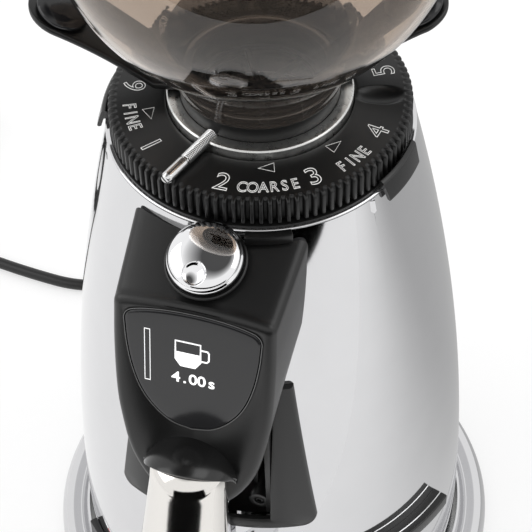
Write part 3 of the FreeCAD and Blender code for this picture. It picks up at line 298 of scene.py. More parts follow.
def body_shell():
    """The housing as a regular grid with whole cells left out for its openings, then thickened inwards."""
    first, last, low, high = VENT
    marks = [RAIL_LOW, RAIL_HIGH, low, high, SWITCH_Z - SWITCH_HALF, SWITCH_Z + SWITCH_HALF]
    even = [BODY_LOW + 4.0 * k for k in range(68)]
    heights = sorted(marks + [z for z in even if all(abs(z - m) > 1.2 for m in marks)])
    heights = [z for z in heights if z < BODY_TOP - 1.5] + [BODY_TOP]
    wide = math.degrees(math.asin(RAIL_HALF / 80))
    edges = [first, last, SWITCH_AZIMUTH - SWITCH_ARC, SWITCH_AZIMUTH + SWITCH_ARC, wide, -wide]
    even = [-180 + 2.0 * k for k in range(180)]
    angles = sorted(edges + [a for a in even if all(abs(a - e) > 0.9 for e in edges)])
    verts, faces = [], []
    for z in heights:
        r = body_radius(z)
        for a in angles:
            fade = min(1.0, max(0.0, (60 - abs(a)) / 30))
            across = 80 * math.sin(math.radians(a)) / r
            front = math.degrees(math.asin(max(-0.99, min(0.99, across)))) if abs(a) < 60 else a
            verts.append(polar(r, front * fade + a * (1 - fade), z))
    n = len(angles)
    for i in range(len(heights) - 1):
        zc = (heights[i] + heights[i + 1]) / 2
        for k in range(n):
            a = (angles[k] + (angles[k + 1] if k + 1 < n else 180)) / 2
            vent = first < a < last and low < zc < high
            rail = abs(a) < wide and RAIL_LOW < zc < RAIL_HIGH
            switch = abs(a - SWITCH_AZIMUTH) < SWITCH_ARC and abs(zc - SWITCH_Z) < SWITCH_HALF
            if not (vent or rail or switch):
                m = (k + 1) % n
                faces.append((i * n + k, i * n + m, (i + 1) * n + m, (i + 1) * n + k))
    shell = mesh_piece("housing_shell", verts, faces, "polished_steel", "housing", ("body_shell",))
    modify(shell, "SOLIDIFY", thickness=mm(SHEET), offset=-1.0)
    return shell


def base_parts():
    """The dished base, its rubber foot, and the bright ring under the dial, which is returned."""
    dish = rounded([
        (88, 4), (105, 4, 3), (108, 6.4, 2), (108, 13, 4.4), (104.6, 17.5, 3.4), (100.6, 17.2, 3),
        (98.2, 13.2, 2.4), (95.9, 17, 1.5), (94.4, 19.1, 0.5), (93.2, 19.1, 0.5), (94.9, 15.6, 2),
        (97.6, 11.6, 2), (101.4, 13.8, 2), (105.8, 15, 2), (106, 6, 1), (88, 6)], 1.0, 6)
    lathe("base_rim", dish, "polished_steel", "housing", ("base_dish",), 192)
    foot = rounded([(88, 0.3), (88.6, 0, 0.3), (101.4, 0, 0.6), (102, 0.6, 0.4), (102, 4), (88, 4)], 0.2, 3)
    lathe("foot_ring", foot, "rubber_black", "housing", ("rubber_foot_ring",), 128)
    low, high = BODY_TOP, BODY_TOP + 1.2
    trim = rounded([(58.5, low), (62.6, low, 0.3), (63.2, low + 0.6, 0.5), (62.6, high, 0.5),
                    (58.5, high)], 0.3)
    return lathe("top_trim", trim, "polished_steel", "housing", ("top_trim_ring",), 192)


# ---- dial ----

DIAL_LOW, DIAL_TOP, TEETH = 280.5, 292.0, 108
TOOTH_DEPTH, SAMPLES = 2.3, 12
SCOOP_AZIMUTH, SCOOP_R, SCOOP_LONG, SCOOP_WIDE, SCOOP_DEEP = 104, 47.5, 9.5, 5.4, 2.2


def dial_ring():
    """Toothed collar: the slots are a smooth ripple of the rim that fades out over the top bevel."""
    count = TEETH * SAMPLES
    slot = []
    for k in range(SAMPLES):
        off = abs(k / SAMPLES - 0.5) * 2
        edge = min(1.0, max(0.0, (off - 0.42) / 0.26))
        slot.append(1 - edge * edge * (3 - 2 * edge))
    rings = [(37.7, DIAL_LOW, 0), (57.6, DIAL_LOW, 0), (60.2, DIAL_LOW, 1), (60.8, DIAL_LOW + 0.25, 1),
             (61, DIAL_LOW + 0.8, 1), (61, DIAL_LOW + 4, 1), (61, DIAL_TOP - 1.5, 1),
             (60.8, DIAL_TOP - 0.9, 1), (60.3, DIAL_TOP - 0.35, 1), (59.6, DIAL_TOP - 0.06, 1),
             (58.6, DIAL_TOP, 0.25), (57.2, DIAL_TOP, 0)]
    rings += [(56 - 1.5 * k, DIAL_TOP, 0) for k in range(12)]
    rings += [(38.3, DIAL_TOP, 0), (37.7, DIAL_TOP - 0.6, 0)]
    c, s = math.cos(math.radians(SCOOP_AZIMUTH)), math.sin(math.radians(SCOOP_AZIMUTH))
    verts = []
    for r, z, depth in rings:
        for k in range(count):
            a = 2 * math.pi * k / count
            rr = r - depth * TOOTH_DEPTH * slot[k % SAMPLES] * (1 if r > 58 else 0)
            x, y = rr * math.sin(a), -rr * math.cos(a)
            drop = 0.0
            if z == DIAL_TOP and r > 38.4:
                u = (x * s - y * c) - SCOOP_R
                w = x * c + y * s
                d = (u / SCOOP_LONG) ** 2 + (w / SCOOP_WIDE) ** 2
                drop = SCOOP_DEEP * max(0.0, 1 - d) ** 0.6 if d < 1 else 0.0
            verts.append((x, y, z - drop))
    faces = quads(len(rings), count, True)
    return mesh_piece("dial_collar", verts, faces, "dial_black", "dial", ("dial_ring",))


def sign(name, text, size, matrix, body, slot="print_white", line=0.16, filled=False):
    """A word or number, drawn as its outline or filled, as a mesh."""
    data = bpy.data.curves.new(name, "FONT")
    data.body = text
    data.size = mm(size)
    data.align_x, data.align_y = "CENTER", "CENTER"
    data.resolution_u = 6
    if filled:
        data.extrude = mm(0.03)
        data.offset = mm(line)
    else:
        data.fill_mode = "NONE"
        data.bevel_depth = mm(line)
        data.bevel_resolution = 1
    return curve_piece(name, data, matrix, body, slot)


def curve_piece(name, data, matrix, body, slot):
    """Turns a curve or a text into a mesh piece at a matrix."""
    source = linked(name + "_source", data)
    graph = bpy.context.evaluated_depsgraph_get()
    mesh = bpy.data.meshes.new_from_object(source.evaluated_get(graph))
    bpy.data.objects.remove(source)
    return flat_piece(name, mesh, matrix, body, slot)


def flat_piece(name, mesh, matrix, body, slot):
    """Turns a finished mesh into a piece at a matrix."""
    mesh.name = name
    mesh.transform(matrix)
    mesh.materials.clear()
    mesh.materials.append(MATERIALS[slot])
    thing = linked(name, mesh)
    return settle(thing, slot, body)


def outline_loop(name, points, matrix, body, slot="print_white", line=0.16, cyclic=True):
    """A thin line through flat points in millimetres."""
    data = bpy.data.curves.new(name, "CURVE")
    data.dimensions = "3D"
    data.bevel_depth = mm(line)
    data.bevel_resolution = 1
    spline = data.splines.new("POLY")
    spline.points.add(len(points) - 1)
    for k, p in enumerate(points):
        spline.points[k].co = (*mm(p[0], p[1], p[2] if len(p) > 2 else 0), 1)
    spline.use_cyclic_u = cyclic
    return curve_piece(name, data, matrix, body, slot)


def on_dial(radius, azimuth):
    """A place just above the dial's top, turned to be read from outside."""
    return moved(*polar(radius, azimuth, DIAL_TOP + 0.02)) @ spin(azimuth)


WORD_R, PITCH = 52.6, 4.1


def dial_marks():
    """Nine outlined numbers, with words and arrows between them."""
    for k in range(9):
        azimuth = -40 + 40 * k
        sign(f"dial_number_{k + 1}", str(k + 1), 12.6, on_dial(51.4, azimuth), "dial", line=0.19)
    for index, (azimuth, word, turn, radius) in enumerate([
            (20, "COARSE", -1, 42), (60, "FINE", 1, 42), (-60, "FINE", 1, 45), (140, "COARSE", -1, 42),
            (180, "FINE", 1, 42), (-140, "COARSE", -1, 42), (-100, "FINE", 1, 42)]):
        for k, letter in enumerate(word):
            a = azimuth + math.degrees(PITCH / WORD_R) * (k - (len(word) - 1) / 2)
            narrow = on_dial(WORD_R, a) @ Matrix.Diagonal((0.76, 1, 1, 1))
            sign(f"dial_word_{index}_{k}", letter, 7.6, narrow, "dial", line=0.16)
        tip, back = 3.4 * turn, -2.8 * turn
        arrow = [(tip, 0), (back, 2.4), (back, -2.4)]
        outline_loop(f"dial_arrow_{index}", arrow, on_dial(radius, azimuth), "dial", line=0.14)


# ---- round and lofted pieces ----


def loft(name, rings, slot, body, stands_for=(), ends=(False, False), matrix=None, around=True):
    """A skin over rings with equal numbers of points, its ends closed by a fan where asked."""
    n = len(rings[0])
    verts = [tuple(p) for ring in rings for p in ring]
    faces = quads(len(rings), n, False, around)
    for wanted, i in zip(ends, (0, len(rings) - 1)):
        if wanted:
            centre = sum((Vector(p) for p in rings[i]), Vector()) / n
            verts.append(tuple(centre))
            faces += [(i * n + k, i * n + (k + 1) % n, len(verts) - 1) for k in range(n)]
    return mesh_piece(name, verts, faces, slot, body, stands_for, matrix)


def sharpen(thing, angle=38.0):
    """Marks a mesh's folds as sharp edges, so that flat faces stay flat in the light."""
    work = bmesh.new()
    work.from_mesh(thing.data)
    for edge in work.edges:
        edge.smooth = not (len(edge.link_faces) == 2 and edge.calc_face_angle(0) > math.radians(angle))
    for face in work.faces:
        face.smooth = True
    work.to_mesh(thing.data)
    work.free()
    return thing


def soften(node, width):
    """A copy of a CAD node with rounded edges, which stands for that node."""
    source = frame["nodes"][node]
    thing = linked(node + "_finished", source.data.copy())
    work = bmesh.new()
    work.from_mesh(thing.data)
    bmesh.ops.remove_doubles(work, verts=work.verts, dist=mm(0.002))
    bmesh.ops.dissolve_limit(work, angle_limit=math.radians(1.0), verts=work.verts, edges=work.edges)
    folds = [e for e in work.edges if len(e.link_faces) == 2 and e.calc_face_angle(0) > math.radians(30)]
    bmesh.ops.bevel(work, geom=folds, offset=mm(width), segments=2, profile=0.5, affect="EDGES",
                    clamp_overlap=True)
    bmesh.ops.triangulate(work, faces=[f for f in work.faces if len(f.verts) > 4])
    work.to_mesh(thing.data)
    work.free()
    sharpen(thing, 32)
    return settle(thing, SLOT_OF[node], BODY_OF[node], (node,))


def carve(thing, cutter):
    """Cuts one mesh out of another and removes the cutter."""
    modify(thing, "BOOLEAN", operation="DIFFERENCE", object=cutter, solver="EXACT")
    bpy.data.objects.remove(cutter)
    return sharpen(thing)


def round_section(half_width, low, high, radius, steps=4):
    """A closed rounded rectangle as (across, height) pairs."""
    r = min(radius, half_width * 0.98, (high - low) * 0.49)
    corners = ((half_width - r, low + r, -90), (half_width - r, high - r, 0),
               (r - half_width, high - r, 90), (r - half_width, low + r, 180))
    out = []
    for cx, cz, start in corners:
        for k in range(steps + 1):
            a = math.radians(start + 90 * k / steps)
            out.append((cx + r * math.cos(a), cz + r * math.sin(a)))
    return out


def prism(name, outline, low, high, matrix):
    """A straight block over an outline in millimetres, for cutting."""
    n = len(outline)
    mesh = bpy.data.meshes.new(name)
    sides = [(k, (k + 1) % n, n + (k + 1) % n, n + k) for k in range(n)]
    mesh.from_pydata([mm(x, y, z) for z in (low, high) for x, y in outline], [],
                     [tuple(range(n - 1, -1, -1)), tuple(range(n, 2 * n))] + sides)
    mesh.transform(matrix)
    thing = linked(name, mesh)
    return thing


def slit(half_length, half_width):
    """The outline of a straight slot."""
    x, y = half_length, half_width
    return [(-x, -y), (x, -y), (x, y), (-x, y)]


def circle(radius, count):
    """Points round a circle, for a prism."""
    return [(radius * math.cos(2 * math.pi * k / count), radius * math.sin(2 * math.pi * k / count))
            for k in range(count)]


def arc_strip(name, section, first, last, slot, body, stands_for=(), steps=24, lean=None):
    """A section of (radius, height) points swept between two azimuths, which may lean with height."""
    rings = []
    for k in range(steps + 1):
        ring = []
        for r, z in section:
            slant = lean(z) if lean else 0.0
            a = first + slant + (last - first - 2 * slant) * k / steps
            ring.append(polar(r, a, z))
        rings.append(ring)
    return sharpen(loft(name, rings, slot, body, stands_for, ends=(True, True)))


def screw_head(name, radius, height, slot, body, matrix, cross=True, stands_for=()):
    """A low round head with a cross or a hexagon hole, sunk into its top part."""
    profile = rounded([(0, 0), (radius, 0, 0.1), (radius, height * 0.55, 0.3), (radius * 0.8, height, 0.5),
                       (0, height)], 0.2)
    head = lathe(name, profile, slot, body, stands_for, 40, False, matrix)
    if cross:
        for turn in (0, 90):
            slot_shape = slit(radius * 0.66, 0.32)
            carve(head, prism(name + "_slot", slot_shape, height * 0.35, height + 1, matrix @ spin(turn)))
    else:
        carve(head, prism(name + "_hex", circle(1.15, 6), height * 0.3, height + 1, matrix))
    return head


# ---- hopper and lid ----

HOPPER_R, HOPPER_Z, WALL = 77.0, 392.0, 2.2


def sphere_arc(radius, low, high, steps):
    """(radius, height) points on the bowl's sphere between two heights."""
    a, b = (math.asin((z - HOPPER_Z) / radius) for z in (low, high))
    turns = [a + (b - a) * k / steps for k in range(steps + 1)]
    return [(radius * math.cos(t), HOPPER_Z + radius * math.sin(t)) for t in turns]


def hopper():
    """Bowl, rim, neck, flange and spigot as one tinted wall, and the guard in its throat."""
    outside = [(28, 276.6), (28, 303.4)] + rounded([(28, 303.8), (33.2, 303.8, 0.5), (33.2, 305.6, 0.6),
                                                   (34.4, 312), (37.2, 323.6)], 0.4, 4)
    outside += sphere_arc(HOPPER_R, 326.2, 440.4, 56)
    rim = rounded([(59.7, 440.8), (59.6, 446.2, 0.7), (57.5, 446.8, 0.7), (57.4, 440.4)], 0.7, 4)
    inside = sphere_arc(HOPPER_R - WALL, 439.9, 327.4, 56)
    inside += rounded([(35.4, 325.4), (32.2, 312, 3), (30.2, 307.2, 2), (25.8, 300, 3),
                       (25.8, 276.6)], 1.5, 5)
    wall = outside + rim + inside
    bowl = lathe("hopper_glass", wall, "smoke_tint", "hopper", ("hopper_bowl", "hopper_neck"), 160)
    bowl.data.materials.append(MATERIALS["smoke_dark"])
    for face in bowl.data.polygons:
        face.material_index = 1 if face.center.z < mm(323.5) else 0
    ring = rounded([(24, 290), (25.7, 290, 0.3), (25.7, 294, 0.3), (23.4, 294, 0.3), (23.4, 290)], 0.3, 3)
    lathe("guard_ring", ring, "black_plastic", "hopper", ("finger_guard",), 96)
    for k in range(3):
        section = round_section(24, 290.5, 293.5, 0.9)
        rings = [[(x, y, z) for x, z in section] for y in (-1.0, -0.6, 0.6, 1.0)]
        ends = (True, True)
        sharpen(loft(f"guard_bar_{k}", rings, "black_plastic", "hopper", ends=ends, matrix=spin(60 * k)))


def lid():
    """Domed lid with its skirt and round grip in one profile."""
    profile = rounded([
        (0, 447.3), (59.9, 447.3, 0.4), (60.2, 442.2, 0.3), (62.3, 442.2, 0.5), (62.3, 448.2, 1.6),
        (59.4, 450.4, 2.5), (38, 455.2, 12), (16, 457.4, 3), (13.2, 459, 1.5), (13.6, 464, 3),
        (14.6, 466, 1.6), (12.4, 467.4, 1.4), (0, 467.9)], 0.5, 6)
    lathe("lid_dome", profile, "gloss_black", "lid", ("hopper_lid", "lid_skirt"), 144, False)


# ---- lever, pin and cap ----

ARM_THICK, ARM_HALF, HUB_INNER = 3.4, 12.0, 29


def arc_through(points):
    """Height of the circle through three (radius, height) points, as a function of the radius."""
    (x1, y1), (x2, y2), (x3, y3) = points
    d = 2 * (x1 * (y2 - y3) + x2 * (y3 - y1) + x3 * (y1 - y2))
    a, b, c = x1 * x1 + y1 * y1, x2 * x2 + y2 * y2, x3 * x3 + y3 * y3
    cx = (a * (y2 - y3) + b * (y3 - y1) + c * (y1 - y2)) / d
    cy = (a * (x3 - x2) + b * (x1 - x3) + c * (x2 - x1)) / d
    r = math.hypot(x1 - cx, y1 - cy)
    return lambda x: cy + math.sqrt(max(0.0, r * r - (x - cx) ** 2))


def lever_arm(side, azimuth, reach, points, waist):
    """An arm with rounded edges, a little hollow along its top, which ends in a round spoon."""
    height = arc_through(points)
    root = points[0][0]
    stations = [HUB_INNER, 33, root] + [root + (reach - ARM_HALF - root) * k / 14 for k in range(1, 15)]
    stations += [reach - ARM_HALF + ARM_HALF * math.sin(math.pi / 2 * k / 12) for k in range(1, 13)]
    rings = []
    for r in stations:
        if r > reach - ARM_HALF:
            half = max(0.6, math.sqrt(max(0.0, ARM_HALF ** 2 - (r - reach + ARM_HALF) ** 2)))
        elif r > 50:
            half = waist + (ARM_HALF - waist) * min(1.0, (r - 50) / (reach - ARM_HALF - 50))
        else:
            half = 9 + (waist - 9) * (r - HUB_INNER) / 21
        low = height(r) if r > root else points[0][1] - 0.4 * (root - r) / (root - HUB_INNER)
        section = round_section(half, low, low + ARM_THICK, 1.35)
        rings.append([(t, -r, z) for t, z in section])
    turn = spin(azimuth)
    loft(f"lever_arm_{side}", rings, "black_plastic", "dial", ("adjusting_lever",), (True, True), turn)


def thumb_pad(side, azimuth, radius, height, slope):
    """A glossy round pad in the spoon, over a narrow dark gap."""
    profile = rounded([(0, 0), (9.6, 0, 0.3), (9.6, 0.7, 0.2), (10.9, 0.9, 0.4), (11.2, 2.4, 1.2),
                       (8.4, 4.6, 3), (0, 5.3)], 0.4, 6)
    place = moved(*polar(radius, azimuth, height + ARM_THICK + 0.05)) @ spin(azimuth) @ spin(-slope, "X")
    lathe(f"thumb_pad_{side}", profile, "pad_black", "dial", ("lever_pads",), 72, False, place)


def lever():
    """The collar in the dial with its two unequal arms and their pads."""
    hub = rounded([(28.2, 276), (32.1, 276, 0.4), (32.1, 303.5, 0.6), (28.2, 303.5, 0.3), (28.2, 276)], 0.3)
    lathe("lever_hub", hub[:-1], "black_plastic", "dial", ("adjusting_lever",), 128)
    lever_arm("left", -84, 91, [(41, 297), (78, 320.8), (94, 327)], 11)
    lever_arm("right", 124, 78, [(38, 296.8), (66, 314.6), (81, 319.4)], 9)
    thumb_pad("left", -84, 78, 320.8, 24.3)
    thumb_pad("right", 124, 66, 314.6, 22.1)


PIN_AZIMUTH, PIN_Z, PIN_R, SLOT_TURN = -19.2, 295.0, 2.5, 0.9


def lock_pin():
    """Bright screw with its thread by the neck, a plain shank, and a bevelled end with a slot."""
    profile = [(0, 28.5), (2.15, 28.5), (2.2, 30)]
    for k in range(24):
        at = 30.2 + 0.8 * k
        profile += [(2.12, at), (PIN_R, at + 0.3), (PIN_R, at + 0.42), (2.12, at + 0.72)]
    profile += rounded([(2.12, 49.8), (2.2, 50.2), (PIN_R, 50.5, 0.2), (PIN_R, 60.4, 0.6), (1.7, 62.2, 0.4),
                        (0, 62.3)], 0.2, 4)
    matrix = placed(0, 0, PIN_Z, "X", 90, PIN_AZIMUTH)
    pin = lathe("lock_pin", profile, "bright_steel", "lock", ("hopper_lock_screw",), 48, False, matrix)
    carve(pin, prism("pin_slot", slit(0.45, 4), 60.7, 64, matrix @ Matrix.Rotation(SLOT_TURN, 4, "Z")))


def make_knob_way(*pieces):
    """Cuts the room that the jog knob needs out of the pieces behind it."""
    for thing in pieces:
        carve(thing, prism("knob_way", circle(KNOB_R + 0.7, 96), 2.9, 20, knob_place()))


def ear_lean(z):
    """How far an ear's ends lean inwards, in degrees, from its top edge down."""
    return (284 - z) * 0.16


def cap_ears():
    """The cap ring's flat under the dial and its two ears over the housing's shoulder."""
    flat = rounded([(56, 279.25), (61.3, 279.25), (61.3, 279.8), (56, 279.8)], 0.1, 2)
    ring = lathe("cap_flat", flat, "black_plastic", "housing", ("cap_ring",), 128)
    section = rounded([(61.8, 279.3), (61.9, 283.6, 0.6), (62.7, 284.4, 0.8), (64.4, 283.6, 1.5),
                       (66.9, 274.6, 0.6), (66.3, 273.9, 0.3), (65.2, 274.2, 0.4), (63.6, 279.6, 1.0),
                       (61.8, 279.3)], 0.5, 4)[:-1]
    for side, first, last in (("right", 64, 88), ("left", -101, -73)):
        arc_strip(f"ear_{side}", section, first, last, "ear_black", "housing", ("cap_ring",), lean=ear_lean)
    return ring


# ---- control head ----

BACK_Y, BACK_Z, HEAD_TILT = -53.0, 277.0, 20.0
FACE_Y, FACE_Z, FACE_TILT = -93.0, 262.0, 10.5
UNDER_SLOPE, FILLET = 45.7, 3.4
ON_FACE = placed(0, FACE_Y, FACE_Z, "X", 90 - FACE_TILT)
ON_TOP = placed(0, BACK_Y, BACK_Z, "X", HEAD_TILT)
KNOB_R, KNOB_DOWN = 15.0, 22.0
OPEN_ANGLE = 1.2


def knob_place():
    """The middle of the jog knob on the sloping top of the head."""
    return ON_TOP @ moved(0, -KNOB_DOWN, 0)


def face_point(u, v, w):
    """A point from its place across, up and out of the window's tilted plane."""
    t = math.radians(FACE_TILT)
    return (u, FACE_Y + v * math.sin(t) - w * math.cos(t), FACE_Z + v * math.cos(t) + w * math.sin(t))


def shield(half, top, crown, corner, side):
    """A closed shield outline in face coordinates: a crowned top, round corners and curved sides that
    meet below. Every shield has the same number of points."""
    fall = 1 - math.cos(OPEN_ANGLE)
    edge = []
    for k in range(15):
        a = OPEN_ANGLE * k / 14
        v = top + crown * (math.cos(a) - math.cos(OPEN_ANGLE)) / fall
        edge.append((half * math.sin(a) / math.sin(OPEN_ANGLE), v))
    flat = [edge_at(edge, half - corner, k / 14) for k in range(15)]
    start = Vector(flat[-1])
    stop = Vector((side[0][0], side[0][1]))
    knee = Vector((half, edge[-1][1]))
    bend = []
    for k in range(1, 8):
        s = k / 8
        bend.append(tuple(start * (1 - s) ** 2 + knee * (2 * s * (1 - s)) + stop * s ** 2))
    down = [tuple(p) for p in curve_between(side, 40)]
    right = flat + bend + down
    left = [(-u, v) for u, v in right[1:-1]][::-1]
    return right + left


def edge_at(edge, limit, fraction):
    """The point of an arched edge at a fraction of the way to a limit."""
    want = limit * fraction
    for (u0, v0), (u1, v1) in zip(edge, edge[1:]):
        if u1 >= want:
            s = (want - u0) / (u1 - u0)
            return want, v0 + (v1 - v0) * s
    return edge[-1]


def inset(loop, distance):
    """A closed outline moved inwards by a distance."""
    out, n = [], len(loop)
    for k in range(n):
        a, b = Vector(loop[k - 1]), Vector(loop[(k + 1) % n])
        along = (b - a).normalized()
        normal = Vector((along.y, -along.x))
        if normal.dot(Vector((0, -50)) - Vector(loop[k])) < 0:
            normal = -normal
        out.append((loop[k][0] + normal.x * distance, loop[k][1] + normal.y * distance))
    return out


HEAD_SIDE = [(32.7, -3.6), (33, -24), (32.3, -47), (30.5, -62), (26.5, -80), (19, -94), (9.5, -102.6),
             (0, -105.2)]
WINDOW_SIDE = [(27.4, -9), (26.6, -20), (24.6, -32), (21, -43), (15.6, -51.4), (8.4, -57.4), (0, -59.4)]
HEAD_LOOP = shield(32.6, -0.2, 3.0, 3.2, HEAD_SIDE)
WINDOW_LOOP = shield(27.4, -5.7, 4.7, 3.0, WINDOW_SIDE)


LONGEST_RUN, RUN_STEP, NECK_R = 95, 0.25, 63.6
FLARE_LOW, FLARE_SPAN, FLARE, FLARE_RUN = 190, 30, 0.085, 42


def run_back(point, v):
    """The direction in which a head point runs back into the housing, and how far it goes."""
    share = min(1.0, max(0.0, (-5 - v) / 88))
    slope = math.radians(HEAD_TILT + (UNDER_SLOPE - HEAD_TILT) * share ** 2)
    step = Vector((0, math.cos(slope), math.sin(slope)))
    reach = 0.0
    while reach < LONGEST_RUN:
        p = Vector(point) + step * reach
        wall = body_radius(p.z) + 0.1 if p.z < BODY_TOP else NECK_R
        if math.hypot(p.x, p.y) < wall:
            break
        reach += RUN_STEP
    return step, reach


def head_shell():
    """Black head: a frame round the window, a rounded edge, and sides that run back to the housing."""
    rings = [[face_point(u, v, -2.2) for u, v in inset(WINDOW_LOOP, -0.35)]]
    rings.append([face_point(u, v, -0.5) for u, v in inset(WINDOW_LOOP, -0.35)])
    rings.append([face_point(u, v, -0.05) for u, v in inset(WINDOW_LOOP, -0.75)])
    for k in range(9):
        a = math.pi / 2 * k / 8
        loop = inset(HEAD_LOOP, FILLET * (1 - math.sin(a)))
        rings.append([face_point(u, v, -FILLET * (1 - math.cos(a))) for u, v in loop])
    edge = rings[-1]
    runs = [run_back(p, HEAD_LOOP[k][1]) for k, p in enumerate(edge)]
    for share in (0.06, 0.2, 0.45, 0.7, 0.9, 1.0):
        ring = []
        for (step, reach), p in zip(runs, edge):
            q = Vector(p) + step * (reach * share)
            fade = max(0.0, min(1.0, (p[2] - FLARE_LOW) / FLARE_SPAN))
            widen = 1 + FLARE * fade * min(1.0, reach * share / FLARE_RUN)
            ring.append((q.x * widen, q.y, q.z))
        rings.append(ring)
    shell = loft("head_casing", rings, "head_black", "housing", ("head_shell",))
    modify(shell, "SOLIDIFY", thickness=mm(1.6), offset=-1.0)
    sharpen(shell, 50)


def window():
    """Gloss window with a bevelled edge, a thin bead round it, and its white signs."""
    rings = []
    for grow, w in ((0.1, -1.1), (0.1, 0.0), (0.25, 0.28), (0.7, 0.45), (1.4, 0.5)):
        rings.append([face_point(u, v, w) for u, v in inset(WINDOW_LOOP, grow)])
    base = inset(WINDOW_LOOP, 1.4)
    for share in (0.8, 0.55, 0.3, 0.1):
        rise = 0.5 + 0.25 * (1 - share)
        rings.append([face_point(u * share, -27 + (v + 27) * share, rise) for u, v in base])
    plate = loft("window_plate", rings, "window_gloss", "housing", ("display_window",), (True, True))
    sharpen(plate, 60)
    bead = [face_point(u, v, 0.12) for u, v in inset(WINDOW_LOOP, -0.45)]
    outline_loop("window_bead", bead, Matrix.Identity(4), "housing", "bead_grey", 0.22)
    bar = [(-19.2, -11.6), (-17.0, -11.6), (-17.0, -37.6), (-19.2, -37.6)]
    cup = [(-6.6, -14.4), (3.6, -14.4), (3.6, -23.4), (1.4, -26.6), (-4.4, -26.6), (-6.6, -23.4)]
    grip = [(3.8, -17), (6.4, -17), (7.0, -17.8), (7.0, -21.6), (6.2, -22.6), (3.8, -22.6)]
    for name, points, w, line, cyclic in (
            ("sign_bar", bar, 0.72, 0.2, True), ("sign_cup", cup, 0.76, 0.36, True),
            ("sign_cup_grip", grip, 0.76, 0.36, False)):
        outline_loop(name, [(u, v, w) for u, v in points], ON_FACE, "housing", "sign_white", line, cyclic)
    fill = [(-6.4, -19.8), (3.4, -19.8), (3.4, -23.4), (1.3, -26.4), (-4.3, -26.4), (-6.4, -23.4)]
    coffee = prism("sign_cup_fill", fill, 0.7, 0.86, ON_FACE)
    coffee.data.materials.append(MATERIALS["sign_white"])
    settle(coffee, "sign_white", "housing")
    for letter, u in (("4", -6.4), (".", -2.8), ("0", 0.6), ("0", 4.1), ("s", 8.2)):
        place = ON_FACE @ moved(u, -33.2, 0.74)
        name = f"sign_time_{u:+.0f}".replace("+", "p").replace("-", "m")
        sign(name, letter, 7.3, place, "housing", "sign_white", 0.12, True)


def knob():
    """Polished jog knob: a shallow dome with a step at its foot and a finger dimple."""
    dimple, hollow, depth = Vector((-1.2, -8.6)), 4.5, 1.9
    profile = rounded([(2.6, 1.4), (14.2, 1.4, 0.3), (KNOB_R, 2.2, 0.4), (KNOB_R, 3.6, 0.9),
                       (13.9, 4.9, 0.8)], 0.4)
    climb = [math.pi / 2 * k / 44 for k in range(1, 44)]
    dome = [(13.9 * math.cos(a), 4.9 + 3.1 * math.sin(a)) for a in climb]
    rings = []
    for r, z in profile + dome + [(0.02, 8.0)]:
        ring = []
        for k in range(144):
            a = 2 * math.pi * k / 144
            x, y = r * math.cos(a), r * math.sin(a)
            d = (Vector((x, y)) - dimple).length / hollow
            drop = 0.0
            if d < 1 and z > 4.5:
                drop = depth * math.sqrt(max(0.0, 1 - d * d)) * min(1.0, (1 - d) * 8)
            ring.append((x, y - KNOB_DOWN, z + 3 - drop))
        rings.append(ring)
    sharpen(loft("knob_dome", rings, "mirror_chrome", "jog_knob", ("jog_knob",), (True, False), ON_TOP), 44)
    seat = rounded([(4.4, 2.3), (16.3, 2.3, 0.2), (16.3, 3.2, 0.4), (15.4, 3.6, 0.3), (15.4, 3.0, 0.2),
                    (4.4, 3.0)], 0.2, 3)
    lathe("knob_seat", seat, "head_black", "housing", (), 96, True, knob_place())


# ---- spout ----

SPOUT_Y, SPOUT_Z, SPOUT_TILT = -111.5, 180.0, 20.0
VISOR_R, ROOT_HALF, ROOT_V, ROOT_ARCH = 18.6, 19.6, -84.5, 19.5
ALONG_SPOUT = placed(0, SPOUT_Y, SPOUT_Z, "X", -SPOUT_TILT)


def spout():
    """Brushed funnel with a rolled lip, and the black visor that it comes out of."""
    outer = [(15.9, 11.0)] + [(16 + 4.4 * (k / 24) ** 1.05, -62.6 * k / 24) for k in range(25)]
    lip = rounded([(20.4, -62.6), (20.5, -64, 0.5), (19.2, -64, 0.5), (19.2, -62.6)], 0.5, 4)
    inner = [(14.8 + 4.4 * (k / 12) ** 1.05, -62.4 * k / 12) for k in range(12, -1, -1)] + [(14.7, 11.0)]
    tube = outer + lip[1:-1] + inner
    lathe("spout_funnel", tube, "spout_steel", "housing", ("spout_tube",), 160, True, ALONG_SPOUT)
    steps = 40
    tilt = math.radians(SPOUT_TILT)
    rings = []
    for k in range(9):
        s = k / 8
        ring = []
        for j in range(steps + 1):
            a = math.pi * (j / steps - 0.5)
            root = Vector(face_point(ROOT_HALF * math.sin(a), ROOT_V + ROOT_ARCH * math.cos(a), -0.6))
            at = 3.5 + 10 * max(0.0, math.cos(a))
            axis = Vector((0, SPOUT_Y + at * math.sin(tilt), SPOUT_Z + at * math.cos(tilt)))
            out = Vector((math.sin(a), -math.cos(a) * math.cos(tilt), math.cos(a) * math.sin(tilt)))
            rim = axis + out * VISOR_R
            knee = root.lerp(rim, 0.5) + Vector((0.7 * math.sin(a), -2.0, 3.2 * max(0.0, math.cos(a))))
            ring.append(tuple(root * (1 - s) ** 2 + knee * (2 * s * (1 - s)) + rim * s ** 2))
        rings.append(ring)
    visor = loft("spout_visor", rings, "visor_black", "housing", ("spout_hood",), around=False)
    modify(visor, "SOLIDIFY", thickness=mm(1.6), offset=-1.0)
    modify(visor, "BEVEL", width=mm(0.35), segments=2, angle_limit=math.radians(50))
    sharpen(visor, 50)


# ---- front panel and vent ----


def on_housing(x, z, out):
    """A point in front of the housing's wall, at a sideways place and a height."""
    r = body_radius(z) + out
    return (x, -math.sqrt(max(0.0, r * r - x * x)), z)


